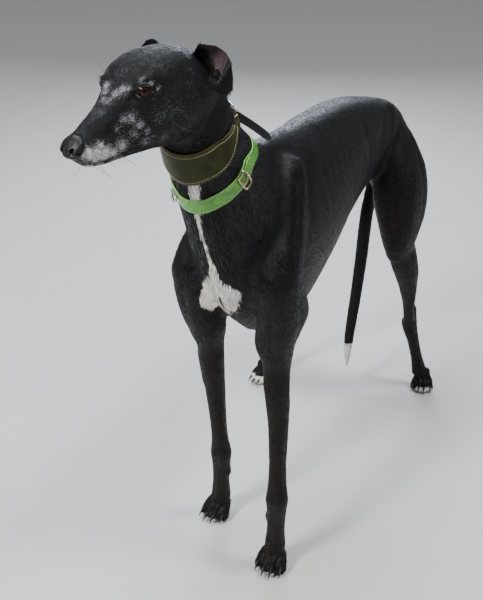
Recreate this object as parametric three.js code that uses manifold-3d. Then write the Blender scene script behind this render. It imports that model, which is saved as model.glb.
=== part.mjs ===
// A standing greyhound, life size: millimetres, +Z up, nose to -Y, its left side to +X, paws on z = 0.
import * as THREE from "three";
import { mergeVertices } from "three/addons/utils/BufferGeometryUtils.js";
import Module from "manifold-3d";

const wasm = await Module();
wasm.setup();

// General sizes
const JOINT_GAP = 0.3;         // free space where two pieces meet
const CUT_REACH = 400;         // how far a parting plane may reach
const BODY_SIDES = 20;         // points round the trunk and neck
const HEAD_SIDES = 22;
const LIMB_SIDES = 10;
const BEND_REACH = 2;          // how many rings on either side set the slope of a ring in a limb
const TOE_SIDES = 6;

// The trunk and neck, from the buttocks to the nape, in the plane of the spine.
// top and low are [y, z] on the topline and the underline, half is half the width there,
// wide is how high between low and top the widest line runs, crown and keel are the fullness
// of the section above and below that line: 2 is round, less is sharper, more is squarer.
const BODY_STATIONS = [
  { top: [404, 584], low: [398, 560], half: 16, wide: 0.5, crown: 2, keel: 2 },
  { top: [386, 604], low: [378, 530], half: 38, wide: 0.5, crown: 2, keel: 2 },
  { top: [345, 636], low: [335, 505], half: 54, wide: 0.55, crown: 2.2, keel: 2 },
  { top: [285, 669], low: [275, 502], half: 62, wide: 0.55, crown: 2.4, keel: 2 },
  { top: [215, 683], low: [205, 518], half: 57, wide: 0.55, crown: 2.4, keel: 2 },
  { top: [140, 696], low: [140, 489], half: 57, wide: 0.56, crown: 2.3, keel: 1.8 },
  { top: [60, 702], low: [65, 446], half: 64, wide: 0.56, crown: 2.1, keel: 1.6 },
  { top: [-20, 701], low: [-10, 400], half: 73, wide: 0.54, crown: 1.9, keel: 1.5 },
  { top: [-95, 697], low: [-85, 368], half: 78, wide: 0.52, crown: 1.8, keel: 1.55 },
  { top: [-150, 696], low: [-165, 367], half: 77, wide: 0.5, crown: 1.7, keel: 1.7 },
  { top: [-190, 696], low: [-240, 399], half: 71, wide: 0.48, crown: 1.7, keel: 1.9 },
  { top: [-218, 695], low: [-300, 454], half: 66, wide: 0.46, crown: 1.8, keel: 2 },
  { top: [-243, 702], low: [-337, 512], half: 64, wide: 0.47, crown: 1.9, keel: 2 },
  { top: [-272, 717], low: [-362, 570], half: 59, wide: 0.48, crown: 2, keel: 2 },
  { top: [-307, 744], low: [-393, 634], half: 53, wide: 0.5, crown: 2, keel: 2 },
  { top: [-338, 774], low: [-416, 688], half: 51, wide: 0.5, crown: 2, keel: 2 },
  { top: [-366, 804], low: [-431, 733], half: 50, wide: 0.5, crown: 2, keel: 2 },
  { top: [-397, 818], low: [-440, 770], half: 38, wide: 0.5, crown: 2, keel: 2 },
];
const BODY_STEPS = 2;          // rings from one station to the next

// The head in its own frame: [forward, up] from the middle of the occiput.
const HEAD_PLACE = { at: [3, -392, 807], turn: 9.5, nod: 11.8, lean: 0.5 };
const HEAD_STATIONS = [
  { top: [-14, 16], low: [-10, -18], half: 16, wide: 0.5, crown: 2, keel: 2 },
  { top: [2, 40], low: [6, -44], half: 40, wide: 0.52, crown: 2, keel: 2 },
  { top: [28, 56], low: [32, -54], half: 48, wide: 0.48, crown: 2.3, keel: 2 },
  { top: [58, 64.5], low: [60, -54], half: 51, wide: 0.46, crown: 2.6, keel: 2 },
  { top: [88, 66], low: [88, -47], half: 50, wide: 0.45, crown: 2.8, keel: 2 },
  { top: [112, 58.5], low: [112, -40], half: 44, wide: 0.46, crown: 2.8, keel: 2.2 },
  { top: [133, 44.5], low: [133, -33], half: 35, wide: 0.45, crown: 2.5, keel: 2.6 },
  { top: [154, 32.5], low: [153, -30.5], half: 27, wide: 0.42, crown: 2.2, keel: 2.8 },
  { top: [177, 23.5], low: [176, -28.5], half: 22, wide: 0.4, crown: 2, keel: 3 },
  { top: [199, 15.5], low: [197, -25], half: 19, wide: 0.42, crown: 2.1, keel: 3 },
  { top: [209, 12], low: [208, -20], half: 16, wide: 0.45, crown: 2.2, keel: 3 },
  { top: [215, 6], low: [214, -12], half: 12, wide: 0.5, crown: 2.2, keel: 2.4 },
];
const HEAD_STEPS = 2;
const JAW_STATIONS = [
  { top: [207, -16], low: [206, -23], half: 6, wide: 0.5, crown: 2, keel: 2 },
  { top: [198, -12], low: [196, -30], half: 12, wide: 0.5, crown: 2, keel: 2 },
  { top: [176, -10], low: [173, -36], half: 15, wide: 0.5, crown: 2, keel: 2 },
  { top: [148, -12], low: [143, -38.5], half: 20, wide: 0.5, crown: 2, keel: 2 },
  { top: [116, -16], low: [110, -43.5], half: 26, wide: 0.5, crown: 2, keel: 2 },
  { top: [84, -20], low: [78, -52], half: 31, wide: 0.5, crown: 2, keel: 2 },
  { top: [52, -24], low: [47, -60], half: 29, wide: 0.5, crown: 2, keel: 2 },
  { top: [24, -28], low: [22, -60], half: 20, wide: 0.5, crown: 2, keel: 2 },
];

// The pad of the nose, with its nostrils
const NOSE_STATIONS = [
  { top: [200, 13], low: [207, -8], half: 12, wide: 0.5, crown: 2.2, keel: 2 },
  { top: [207, 12.8], low: [212, -11], half: 15.8, wide: 0.5, crown: 2.2, keel: 2 },
  { top: [214, 8], low: [217, -11], half: 15, wide: 0.5, crown: 2.2, keel: 2.2 },
  { top: [220, 3], low: [220.5, -7], half: 10, wide: 0.5, crown: 2.2, keel: 2.2 },
];
const NOSTRIL = { at: [219, 7.2, 1], size: [7, 3.4, 3.2] };
const NOSTRIL_SLIT = { at: [214, 13.5, -2], size: [7, 5, 1.4] };

// Eyes: the ball, its middle and the opening of the lids, in the head's frame [forward, left, up]
const EYE = { radius: 11, at: [115.5, 27, 35.5], gaze: [0.66, 0.74, 0.12] };
const EYE_OPENING = { half: 12, high: 6.2, lid: 2.6, proud: 9.6 };

// Ear: the two rims [forward, left, up], how deep the leather is cupped between them, its thickness
const EAR_STATIONS = [
  { rim: [30, 27, 45], edge: [23, 38, 12], cup: [-11, -7, -3], thick: 2.8 },
  { rim: [25, 35.5, 59], edge: [24, 46, 15], cup: [-15, -9, 0], thick: 2.6 },
  { rim: [18, 44, 57], edge: [20, 48, 14], cup: [-14, -8, 0], thick: 2.4 },
  { rim: [10.5, 49.5, 54], edge: [14.5, 52.5, 16], cup: [-10, -6, 1], thick: 2 },
  { rim: [5.5, 56, 47.5], edge: [10, 59, 25], cup: [-4, 0, 3], thick: 1.6 },
  { rim: [5.5, 63, 40], edge: [15.5, 64, 30], cup: [-1, 4, 2], thick: 1.8 },
  { rim: [8.5, 68.5, 26.5], edge: [25, 63, 24], cup: [1, 4, 0], thick: 2.4 },
  { rim: [12, 71, 13.5], edge: [31.5, 61, 17.5], cup: [1, 3, 0], thick: 2.4 },
  { rim: [16.5, 71, 4], edge: [33.5, 60.5, 12], cup: [1, 2, 0], thick: 2.2 },
  { rim: [23, 67.5, 2], edge: [29, 63, 5], cup: [0.5, 1, 0], thick: 1.8 },
];

// Where an ear turns on the skull [forward, left], how far it is turned forwards and how it is set off
const EAR_BASE = [24, 38];
const EAR_POSE = { left: { turned: 0, shift: [0, 0, 0] }, right: { turned: 32, shift: [-2, 2, -3] } };

// Joints of the legs, [x, y, z], as the dog stands, and how far each paw is turned outwards
const LEFT_FORE = { side: 1, withers: [39, -172, 662], shoulder: [73, -282, 515], elbow: [66, -255, 375],
  carpus: [92, -303, 148], foot: [83, -282, 0], outward: 6, pawSize: 1 };
const RIGHT_FORE = { side: -1, withers: [-39, -172, 662], shoulder: [-67, -282, 512], elbow: [-67, -238, 372],
  carpus: [-50, -232, 148], foot: [-62, -207, 0], outward: 4, pawSize: 1 };
const LEFT_HIND = { side: 1, hip: [56, 290, 590], stifle: [82, 236, 395], hock: [86, 360, 178],
  foot: [116, 409, 0], outward: 14, pawSize: 0.93 };
const RIGHT_HIND = { side: -1, hip: [-56, 290, 590], stifle: [-128, 206, 400], hock: [-184, 281, 174],
  foot: [-214, 262, 0], outward: 4, pawSize: 0.93 };

// Paws: each toe [across, set back, turned outwards in degrees] from the inner to the outer one
const TOES = [[-14.5, 10, -8], [-5, 1, -2], [5, 0, 2], [14.5, 9, 8]];
const TOE_SPINE = [
  { reach: 3, rise: 27, thick: 6, spread: 0.6 },
  { reach: 14, rise: 29, thick: 8, spread: 0.85 },
  { reach: 25, rise: 21, thick: 8.6, spread: 1 },
  { reach: 33, rise: 9.4, thick: 10, spread: 1 },
  { reach: 40, rise: 6, thick: 5.6, spread: 1 },
];
const MAIN_PAD = { reach: 4, rise: 7.6, size: [14, 12.5, 8.8] };
const CLAW_SPINE = [
  { reach: 33, rise: 17.5, thick: 3.2, spread: 1 },
  { reach: 43, rise: 15, thick: 2.6, spread: 1 },
  { reach: 49, rise: 9.5, thick: 1.5, spread: 1 },
  { reach: 51.5, rise: 4.5, thick: 0.4, spread: 1 },
];

// The tail, from its root in the croup to the tip
const TAIL_STATIONS = [
  { at: [0, 350, 612], side: 18, front: 18, back: 16, full: 2 },
  { at: [-3, 388, 594], side: 19, front: 20, back: 18, full: 2 },
  { at: [-12, 404, 548], side: 17, front: 19, back: 17, full: 2 },
  { at: [-24, 386, 488], side: 15.5, front: 16, back: 16, full: 2 },
  { at: [-31, 363, 410], side: 14.5, front: 14.5, back: 14.5, full: 2 },
  { at: [-30, 347, 320], side: 14, front: 14, back: 14, full: 2 },
  { at: [-30, 326, 217], side: 13, front: 13, back: 13, full: 2 },
  { at: [-30, 303, 130], side: 11, front: 11, back: 11, full: 2 },
  { at: [-29, 299, 84], side: 6.5, front: 6.5, back: 6.5, full: 2 },
  { at: [-29, 300, 66], side: 1.5, front: 1.5, back: 1.5, full: 2 },
];

// Collars: the middle of each ring in the plane of the spine, the way its axis leans,
// the width of the band at the throat and at the nape, its thickness and how far it sags at the nape
const COLLAR_COLUMNS = 20;
const LEATHER = { at: [0, -378.7, 744.6], axis: [0, -0.72, 0.694], throat: 42, nape: 19, thick: 4, sag: 4 };
const GREEN = { at: [0, -348, 693.5], axis: [0, -0.7, 0.714], throat: 21, nape: 20, thick: 2.4, sag: 28 };
const LEATHER_BUCKLE = { angle: 60, half: 9, over: 3.5, wire: 1.5 };
const LEATHER_END = { from: [30, -347, 763], to: [37, -247, 708], width: 11.5, thick: 2.8, point: 0.82 };
const GREEN_BUCKLE = { angle: -17, half: 8, over: 3, wire: 1.6 };
const GREEN_END = { from: -22, to: 18, width: 19, thick: 1.8, lift: 0.4 };
const GREEN_RING = { angle: 240, half: 8, drop: 13, wire: 1.7 };

// Helpers for smooth rows of sizes

function mixNumbers(a, b, c, d, t) {
  const bend = 2 * b + (c - a) * t + (2 * a - 5 * b + 4 * c - d) * t * t + (3 * b - a - 3 * c + d) * t ** 3;
  return bend / 2;
}

function mixValues(a, b, c, d, t) {
  if (Array.isArray(a)) return a.map((value, i) => mixNumbers(value, b[i], c[i], d[i], t));
  return mixNumbers(a, b, c, d, t);
}

// Every named size of the stations, read smoothly with a number of steps between two stations.
function smoothStations(stations, steps) {
  const last = stations.length - 1;
  const rows = [];
  for (let i = 0; i <= last * steps; i += 1) {
    const left = Math.min(Math.floor(i / steps), last - 1);
    const t = i / steps - left;
    const near = [left - 1, left, left + 1, left + 2].map((k) => {
      return stations[Math.min(Math.max(k, 0), last)];
    });
    const row = {};
    for (const key of Object.keys(stations[0])) {
      row[key] = mixValues(near[0][key], near[1][key], near[2][key], near[3][key], t);
    }
    rows.push(row);
  }
  return rows;
}

function power(value, fullness) {
  return Math.sign(value) * Math.abs(value) ** (2 / fullness);
}

// Rings of points joined into one closed surface, with a pole in the middle of each end.
function surfaceOfRings(rings) {
  const sides = rings[0].length;
  const points = rings.flat();
  const middle = (ring) => ring.reduce((sum, p) => sum.add(p), new THREE.Vector3()).divideScalar(sides);
  points.push(middle(rings[0]), middle(rings[rings.length - 1]));
  const index = [];
  for (let i = 0; i + 1 < rings.length; i += 1) {
    for (let j = 0; j < sides; j += 1) {
      const a = i * sides + j;
      const b = i * sides + ((j + 1) % sides);
      index.push(a, b, b + sides, a, b + sides, a + sides);
    }
  }
  const first = points.length - 2;
  const tail = (rings.length - 1) * sides;
  for (let j = 0; j < sides; j += 1) {
    const next = (j + 1) % sides;
    index.push(first, next, j, first + 1, tail + j, tail + next);
  }
  return bufferOf(points, index);
}

// A form between a topline and an underline: see BODY_STATIONS for its sizes.
function profileForm(stations, steps, sides, place) {
  const rings = smoothStations(stations, steps).map((row) => {
    const top = place(row.top);
    const low = place(row.low);
    const upward = top.clone().sub(low);
    const centre = low.clone().addScaledVector(upward, row.wide);
    const ring = [];
    for (let j = 0; j < sides; j += 1) {
      const angle = (2 * Math.PI * j) / sides;
      const rise = Math.sin(angle);
      const part = rise >= 0 ? 1 - row.wide : row.wide;
      const fullness = rise >= 0 ? row.crown : row.keel;
      const point = centre.clone().addScaledVector(upward, part * power(rise, fullness));
      point.x += row.half * power(Math.cos(angle), fullness);
      ring.push(point);
    }
    return ring;
  });
  return surfaceOfRings(rings);
}

// A limb round a spine: at is a point of the spine, side is half the width across,
// front and back are the reach from the spine, and full is the fullness of the section.
// facing is the way its front looks.
function limbForm(stations, steps, sides, facing = [0, -1, 0]) {
  const rows = smoothStations(stations, steps);
  const spots = rows.map((row) => new THREE.Vector3(...row.at));
  const rings = rows.map((row, i) => {
    const ahead = spots[Math.min(i + BEND_REACH, spots.length - 1)];
    const behind = spots[Math.max(i - BEND_REACH, 0)];
    const along = ahead.clone().sub(behind).normalize();
    const sideways = new THREE.Vector3(1, 0, 0);
    sideways.addScaledVector(along, -sideways.dot(along)).normalize();
    const forward = along.clone().cross(sideways);
    if (forward.dot(new THREE.Vector3(...facing)) < 0) forward.negate();
    const ring = [];
    for (let j = 0; j < sides; j += 1) {
      const angle = (2 * Math.PI * j) / sides;
      const reach = Math.sin(angle) >= 0 ? row.front : row.back;
      ring.push(spots[i].clone()
        .addScaledVector(sideways, row.side * power(Math.cos(angle), row.full))
        .addScaledVector(forward, reach * power(Math.sin(angle), row.full)));
    }
    return ring;
  });
  return surfaceOfRings(rings);
}

// Solids

function volumeSign(positions, index) {
  const [a, b, c] = [new THREE.Vector3(), new THREE.Vector3(), new THREE.Vector3()];
  let sum = 0;
  for (let i = 0; i < index.length; i += 3) {
    a.fromArray(positions, 3 * index[i]);
    b.fromArray(positions, 3 * index[i + 1]);
    c.fromArray(positions, 3 * index[i + 2]);
    sum += a.dot(b.cross(c));
  }
  return Math.sign(sum);
}

function toSolid(geometry) {
  const bare = geometry.clone();
  bare.deleteAttribute("normal");
  bare.deleteAttribute("uv");
  const merged = mergeVertices(bare, 1e-4);
  const vertProperties = new Float32Array(merged.attributes.position.array);
  const triVerts = new Uint32Array(merged.index.array);
  if (volumeSign(vertProperties, triVerts) < 0) triVerts.reverse();
  return new wasm.Manifold(new wasm.Mesh({ numProp: 3, vertProperties, triVerts }));
}

function toGeometry(solid) {
  const mesh = solid.getMesh();
  const geometry = new THREE.BufferGeometry();
  geometry.setAttribute("position", new THREE.BufferAttribute(mesh.vertProperties.slice(), 3));
  geometry.setIndex(new THREE.BufferAttribute(mesh.triVerts.slice(), 1));
  return geometry;
}

const joined = (solids) => solids.reduce((all, solid) => all.add(solid));

// The same form with its surface moved outwards.
function grown(geometry, distance) {
  const copy = mergeVertices(toGeometry(toSolid(geometry)), 1e-4);
  copy.computeVertexNormals();
  const spots = copy.attributes.position;
  const normals = copy.attributes.normal;
  for (let i = 0; i < spots.count; i += 1) {
    spots.setXYZ(i, spots.getX(i) + distance * normals.getX(i),
      spots.getY(i) + distance * normals.getY(i), spots.getZ(i) + distance * normals.getZ(i));
  }
  copy.deleteAttribute("normal");
  return copy;
}

function largest(solid) {
  const parts = solid.decompose();
  return parts.reduce((best, part) => (part.volume() > best.volume() ? part : best));
}

// Rings of points joined one to the next and the last to the first.
function closedLoop(rings) {
  const sides = rings[0].length;
  const index = [];
  rings.forEach((ring, i) => {
    for (let j = 0; j < sides; j += 1) {
      const a = i * sides + j;
      const b = i * sides + ((j + 1) % sides);
      const step = (((i + 1) % rings.length) - i) * sides;
      index.push(a, b, b + step, a, b + step, a + step);
    }
  });
  return bufferOf(rings.flat(), index);
}

// A closed hoop of a round wire through the points.
function hoop(points, radius, sides) {
  const count = points.length;
  const middle = points.reduce((sum, p) => sum.add(p), new THREE.Vector3()).divideScalar(count);
  return closedLoop(points.map((point, i) => {
    const along = points[(i + 1) % count].clone().sub(points[(i + count - 1) % count]).normalize();
    const out = point.clone().sub(middle);
    out.addScaledVector(along, -out.dot(along)).normalize();
    const over = along.clone().cross(out);
    const ring = [];
    for (let j = 0; j < sides; j += 1) {
      const angle = (2 * Math.PI * j) / sides;
      ring.push(point.clone().addScaledVector(out, radius * Math.cos(angle))
        .addScaledVector(over, radius * Math.sin(angle)));
    }
    return ring;
  }));
}

function bufferOf(spots, index) {
  const geometry = new THREE.BufferGeometry();
  geometry.setAttribute("position", new THREE.Float32BufferAttribute(spots.flatMap((p) => p.toArray()), 3));
  geometry.setIndex(index);
  return geometry;
}

// A thin leaf between two faces of points, front[i][j] and back[i][j], closed along its rims.
function leaf(front, back) {
  const rows = front.length;
  const columns = front[0].length;
  const spots = [...front.flat(), ...back.flat()];
  const under = rows * columns;
  const index = [];
  for (let i = 0; i + 1 < rows; i += 1) {
    for (let j = 0; j + 1 < columns; j += 1) {
      const a = i * columns + j;
      const c = a + columns;
      index.push(a, a + 1, c + 1, a, c + 1, c);
      index.push(under + a, under + c + 1, under + a + 1, under + a, under + c, under + c + 1);
    }
  }
  const rim = [];
  for (let j = 0; j < columns; j += 1) rim.push(j);
  for (let i = 1; i < rows; i += 1) rim.push(i * columns + columns - 1);
  for (let j = columns - 2; j >= 0; j -= 1) rim.push((rows - 1) * columns + j);
  for (let i = rows - 2; i > 0; i -= 1) rim.push(i * columns);
  rim.forEach((a, k) => {
    const b = rim[(k + 1) % rim.length];
    index.push(a, under + b, b, a, under + a, under + b);
  });
  return bufferOf(spots, index);
}

function ball(size, at, segments = [10, 7]) {
  return new THREE.SphereGeometry(1, ...segments).scale(...size).translate(...at);
}

// The half of space on one side of a plane, as a block that stops half a gap short of it.
function halfSpace(point, normal) {
  const direction = new THREE.Vector3(...normal).normalize();
  const block = new THREE.BoxGeometry(2 * CUT_REACH, 2 * CUT_REACH, 2 * CUT_REACH);
  block.translate(0, 0, CUT_REACH + JOINT_GAP / 2);
  block.applyQuaternion(new THREE.Quaternion().setFromUnitVectors(new THREE.Vector3(0, 0, 1), direction));
  return toSolid(block.translate(...point));
}

// Parts a solid by a row of planes, from the first piece to the last along their normals.
function partAlong(solid, planes) {
  const pieces = [];
  let rest = solid;
  for (const { point, normal } of planes) {
    pieces.push(largest(rest.intersect(halfSpace(point, normal.map((value) => -value)))));
    rest = largest(rest.intersect(halfSpace(point, normal)));
  }
  pieces.push(rest);
  return pieces;
}

// The trunk with the neck, and the head

const inBodyPlane = ([y, z]) => new THREE.Vector3(0, y, z);
const inHeadPlane = ([forward, up]) => new THREE.Vector3(0, -forward, up);
const headPoint = ([forward, left, up], side = 1) => new THREE.Vector3(side * left, -forward, up);

const headFrame = new THREE.Object3D();
headFrame.position.set(...HEAD_PLACE.at);
headFrame.rotation.order = "ZXY";
headFrame.rotation.set(THREE.MathUtils.degToRad(HEAD_PLACE.nod), THREE.MathUtils.degToRad(HEAD_PLACE.lean),
  THREE.MathUtils.degToRad(-HEAD_PLACE.turn));
headFrame.updateMatrixWorld();
const onHead = (geometry) => geometry.applyMatrix4(headFrame.matrixWorld);

const trunkForm = profileForm(BODY_STATIONS, BODY_STEPS, BODY_SIDES, inBodyPlane);
const skullForm = profileForm(HEAD_STATIONS, HEAD_STEPS, HEAD_SIDES, inHeadPlane);
const jawForm = profileForm(JAW_STATIONS, 1, 14, inHeadPlane);
const noseForm = profileForm(NOSE_STATIONS, 2, 12, inHeadPlane);

// Eyes and lids

function eyeFrame(side) {
  const middle = headPoint(EYE.at, side);
  const gaze = headPoint(EYE.gaze, side).normalize();
  const high = new THREE.Vector3(0, 0, 1).addScaledVector(gaze, -gaze.z).normalize();
  const across = high.clone().cross(gaze);
  return { middle, gaze, high, across };
}

// The rim of the opening: an almond, pointed at its corners.
function almond(side, half, high, ahead) {
  const count = 14;
  const frame = eyeFrame(side);
  const points = [];
  for (let i = 0; i < count; i += 1) {
    const angle = (2 * Math.PI * i) / count;
    const sweep = Math.cos(angle);
    points.push(frame.middle.clone()
      .addScaledVector(frame.across, half * sweep)
      .addScaledVector(frame.high, high * Math.sin(angle) * (1 - 0.25 * sweep * sweep))
      .addScaledVector(frame.gaze, ahead - 0.03 * half * half * sweep * sweep * 0.5));
  }
  return points;
}

function eyeBall(side, radius = EYE.radius) {
  const frame = eyeFrame(side);
  const form = new THREE.SphereGeometry(radius, 12, 8);
  form.applyQuaternion(new THREE.Quaternion().setFromUnitVectors(new THREE.Vector3(0, 1, 0), frame.gaze));
  return form.translate(...frame.middle);
}

function eyeOpening(side) {
  const inner = almond(side, EYE_OPENING.half - 2, EYE_OPENING.high - 1.2, 4);
  const outer = almond(side, EYE_OPENING.half - 0.2, EYE_OPENING.high + 0.4, EYE_OPENING.proud + 10);
  return surfaceOfRings([inner, outer]);
}

// The ear: a cupped leaf that stands back from its base and folds over to hang down
function earForm(side, { turned, shift }) {
  const columns = 5;
  const turn = THREE.MathUtils.degToRad(turned);
  const place = ([forward, left, up]) => {
    const [ahead, out] = [forward - EAR_BASE[0], left - EAR_BASE[1]];
    const swung = [ahead * Math.cos(turn) + out * Math.sin(turn), out * Math.cos(turn) - ahead * Math.sin(turn)];
    return headPoint([EAR_BASE[0] + swung[0] + shift[0], EAR_BASE[1] + swung[1] + shift[1], up + shift[2]], side);
  };
  const rows = smoothStations(EAR_STATIONS, 2);
  const middle = rows.map((row) => {
    const line = [];
    for (let j = 0; j < columns; j += 1) {
      const s = j / (columns - 1);
      const bow = 4 * s * (1 - s);
      line.push(place(row.rim.map((value, k) => value + (row.edge[k] - value) * s + row.cup[k] * bow)));
    }
    return line;
  });
  const normalAt = (i, j) => {
    const down = middle[Math.min(i + 1, rows.length - 1)][j].clone().sub(middle[Math.max(i - 1, 0)][j]);
    const over = middle[i][Math.min(j + 1, columns - 1)].clone().sub(middle[i][Math.max(j - 1, 0)]);
    return down.cross(over).normalize();
  };
  const face = (sign) => middle.map((line, i) => line.map((point, j) => {
    const edge = Math.min(1, 0.45 + 0.55 * Math.min(j, columns - 1 - j, rows.length - 1 - i));
    return point.clone().addScaledVector(normalAt(i, j), (sign * edge * rows[i].thick) / 2);
  }));
  return leaf(face(1), face(-1));
}

const bothSides = { left: 1, right: -1 };
let headSolid = toSolid(skullForm);
const headPieces = {};
for (const side of Object.values(bothSides)) {
  headSolid = headSolid.add(toSolid(eyeBall(side, EYE.radius + EYE_OPENING.lid)));
}
for (const [name, side] of Object.entries(bothSides)) {
  const eye = eyeBall(side);
  headSolid = headSolid.subtract(toSolid(eyeOpening(side))).subtract(toSolid(grown(eye, JOINT_GAP)));
  headPieces[`eye_${name}`] = toSolid(eye);
}
headSolid = headSolid.subtract(toSolid(grown(noseForm, JOINT_GAP)));
for (const [name, side] of Object.entries(bothSides)) {
  const ear = toSolid(earForm(side, EAR_POSE[name]));
  const skull = toSolid(grown(skullForm, JOINT_GAP));
  headPieces[`ear_${name}`] = largest(ear.subtract(skull));
}
let noseSolid = toSolid(noseForm);
for (const side of Object.values(bothSides)) {
  for (const { at, size } of [NOSTRIL, NOSTRIL_SLIT]) {
    const spot = headPoint(at, side);
    noseSolid = noseSolid.subtract(toSolid(ball([size[1], size[0], size[2]], spot.toArray(), [8, 5])));
  }
}
headPieces.nose = largest(noseSolid);
headPieces.head = largest(headSolid);
headPieces.lower_jaw = largest(toSolid(jawForm).subtract(toSolid(grown(skullForm, JOINT_GAP))));

// Legs

const between = (a, b, t) => a.map((value, i) => value + (b[i] - value) * t);

// A step from a point: outwards from the body, towards the tail and upwards.
const stepFrom = (p, side, out, back, up) => [p[0] + side * out, p[1] + back, p[2] + up];

function forelegForms({ side, withers, shoulder, elbow, carpus, foot }) {
  const step = (p, out, back, up) => stepFrom(p, side, out, back, up);
  const fetlock = step(between(carpus, foot, 0.7), 0, -2, 0);
  const upper = limbForm([
    { at: withers, side: 14, front: 20, back: 28, full: 2 },
    { at: between(withers, shoulder, 0.3), side: 24, front: 36, back: 48, full: 2 },
    { at: between(withers, shoulder, 0.7), side: 30, front: 42, back: 52, full: 2 },
    { at: shoulder, side: 32, front: 42, back: 55, full: 2 },
    { at: step(between(shoulder, elbow, 0.45), 3, -4, 0), side: 35, front: 38, back: 66, full: 2.1 },
    { at: step(between(shoulder, elbow, 0.8), -4, -6, 0), side: 32, front: 34, back: 33, full: 2.1 },
    { at: step(elbow, -2, 0, -12), side: 22, front: 27, back: 22, full: 2 },
  ], 2, LIMB_SIDES + 2);
  const lower = limbForm([
    { at: step(elbow, -2, -4, 34), side: 22, front: 27, back: 23, full: 2 },
    { at: step(elbow, -2, -3, 0), side: 23, front: 27, back: 25, full: 2 },
    { at: step(between(elbow, carpus, 0.2), -2, -5, 0), side: 21, front: 23, back: 23, full: 2 },
    { at: between(elbow, carpus, 0.45), side: 17.5, front: 19, back: 20, full: 2 },
    { at: between(elbow, carpus, 0.75), side: 14.5, front: 15, back: 17, full: 2 },
    { at: between(elbow, carpus, 0.92), side: 16.5, front: 15.5, back: 17, full: 2 },
    { at: carpus, side: 19, front: 17, back: 19, full: 2.2 },
    { at: between(carpus, fetlock, 0.3), side: 16.5, front: 14, back: 18, full: 2.2 },
    { at: between(carpus, fetlock, 0.65), side: 16, front: 13, back: 14, full: 2.2 },
    { at: fetlock, side: 18.5, front: 14, back: 15, full: 2.2 },
    { at: step(fetlock, 0, -4, -14), side: 16, front: 10, back: 11, full: 2.2 },
  ], 2, LIMB_SIDES);
  const stopperPad = ball([7, 8, 9], step(between(carpus, foot, 0.16), 2, 15, 0), [6, 4]);
  const dewToe = ball([6.5, 7.5, 10], step(between(carpus, foot, 0.28), -15, 0, 0), [6, 4]);
  return { upper, lower, bumps: [stopperPad, dewToe], fetlock };
}

function hindlegForms({ side, hip, stifle, hock, foot }) {
  const step = (p, out, back, up) => stepFrom(p, side, out, back, up);
  const fetlock = step(between(hock, foot, 0.74), 0, 2, 0);
  const thigh = limbForm([
    { at: step(hip, -26, -8, 52), side: 12, front: 34, back: 22, full: 2 },
    { at: step(hip, -18, -6, 20), side: 27, front: 58, back: 44, full: 2.2 },
    { at: step(between(hip, stifle, 0.18), -9, 2, 0), side: 43, front: 70, back: 80, full: 2.3 },
    { at: step(between(hip, stifle, 0.48), -3, 2, 0), side: 50, front: 64, back: 92, full: 2.3 },
    { at: step(between(hip, stifle, 0.78), 0, 2, 0), side: 41, front: 49, back: 85, full: 2.1 },
    { at: step(stifle, 0, 4, 0), side: 29, front: 36, back: 64, full: 2 },
    { at: step(stifle, 0, 4, -28), side: 18, front: 24, back: 40, full: 2 },
  ], 2, LIMB_SIDES + 2);
  const gaskin = limbForm([
    { at: step(stifle, -2, 6, 14), side: 24, front: 28, back: 50, full: 2 },
    { at: step(between(stifle, hock, 0.2), 4, 6, 0), side: 25, front: 26, back: 52, full: 2 },
    { at: step(between(stifle, hock, 0.45), 6, 8, 0), side: 21, front: 19, back: 42, full: 2 },
    { at: step(between(stifle, hock, 0.7), 4, 6, 0), side: 15, front: 14, back: 28, full: 2 },
    { at: step(between(stifle, hock, 0.88), 1, 2, 0), side: 12.5, front: 13, back: 21, full: 2 },
    { at: hock, side: 15, front: 15, back: 17, full: 2 },
  ], 2, LIMB_SIDES + 2);
  const lower = limbForm([
    { at: step(hock, -4, 26, 30), side: 8, front: 9, back: 7, full: 2 },
    { at: step(hock, -2, 18, 14), side: 12, front: 17, back: 11, full: 2 },
    { at: step(hock, -2, 7, -6), side: 18, front: 20, back: 15, full: 2 },
    { at: between(hock, fetlock, 0.35), side: 14, front: 14, back: 13, full: 2 },
    { at: between(hock, fetlock, 0.7), side: 13.5, front: 12, back: 12, full: 2.2 },
    { at: fetlock, side: 17, front: 13, back: 13, full: 2.2 },
    { at: step(fetlock, 0, -5, -12), side: 14.5, front: 9, back: 10, full: 2.2 },
  ], 2, LIMB_SIDES);
  return { thigh, gaskin, lower, fetlock };
}

// A paw in its own frame: +X outwards, -Y to the toes, z = 0 the floor
function pawForms() {
  const palm = limbForm([
    { at: [0, -5, 54], side: 14.5, front: 11, back: 11, full: 2.2 },
    { at: [0, -5, 42], side: 17, front: 14, back: 13, full: 2.2 },
    { at: [0, -9, 30], side: 17.5, front: 13.5, back: 14, full: 2.2 },
    { at: [0, -17, 21], side: 16, front: 10, back: 11, full: 2 },
    { at: [0, -25, 14], side: 11, front: 5, back: 5, full: 2 },
  ], 1, 10);
  const toes = TOES.map(([across, setBack, turned]) => {
    const place = (form) => form.rotateZ(THREE.MathUtils.degToRad(turned)).translate(across, setBack, 0);
    const row = ({ reach, rise, thick, spread }) => ({ at: [across * (spread - 1), -reach, rise], side: thick,
      front: thick, back: thick, full: 2 });
    const toe = place(limbForm(TOE_SPINE.map(row), 1, TOE_SIDES, [0, 0, 1]));
    const claw = place(limbForm(CLAW_SPINE.map(row), 1, 4, [0, 0, 1]));
    return { toe, claw };
  });
  const mainPad = ball(MAIN_PAD.size, [0, -MAIN_PAD.reach, MAIN_PAD.rise], [8, 5]);
  return { palm, toes, mainPad };
}

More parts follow.
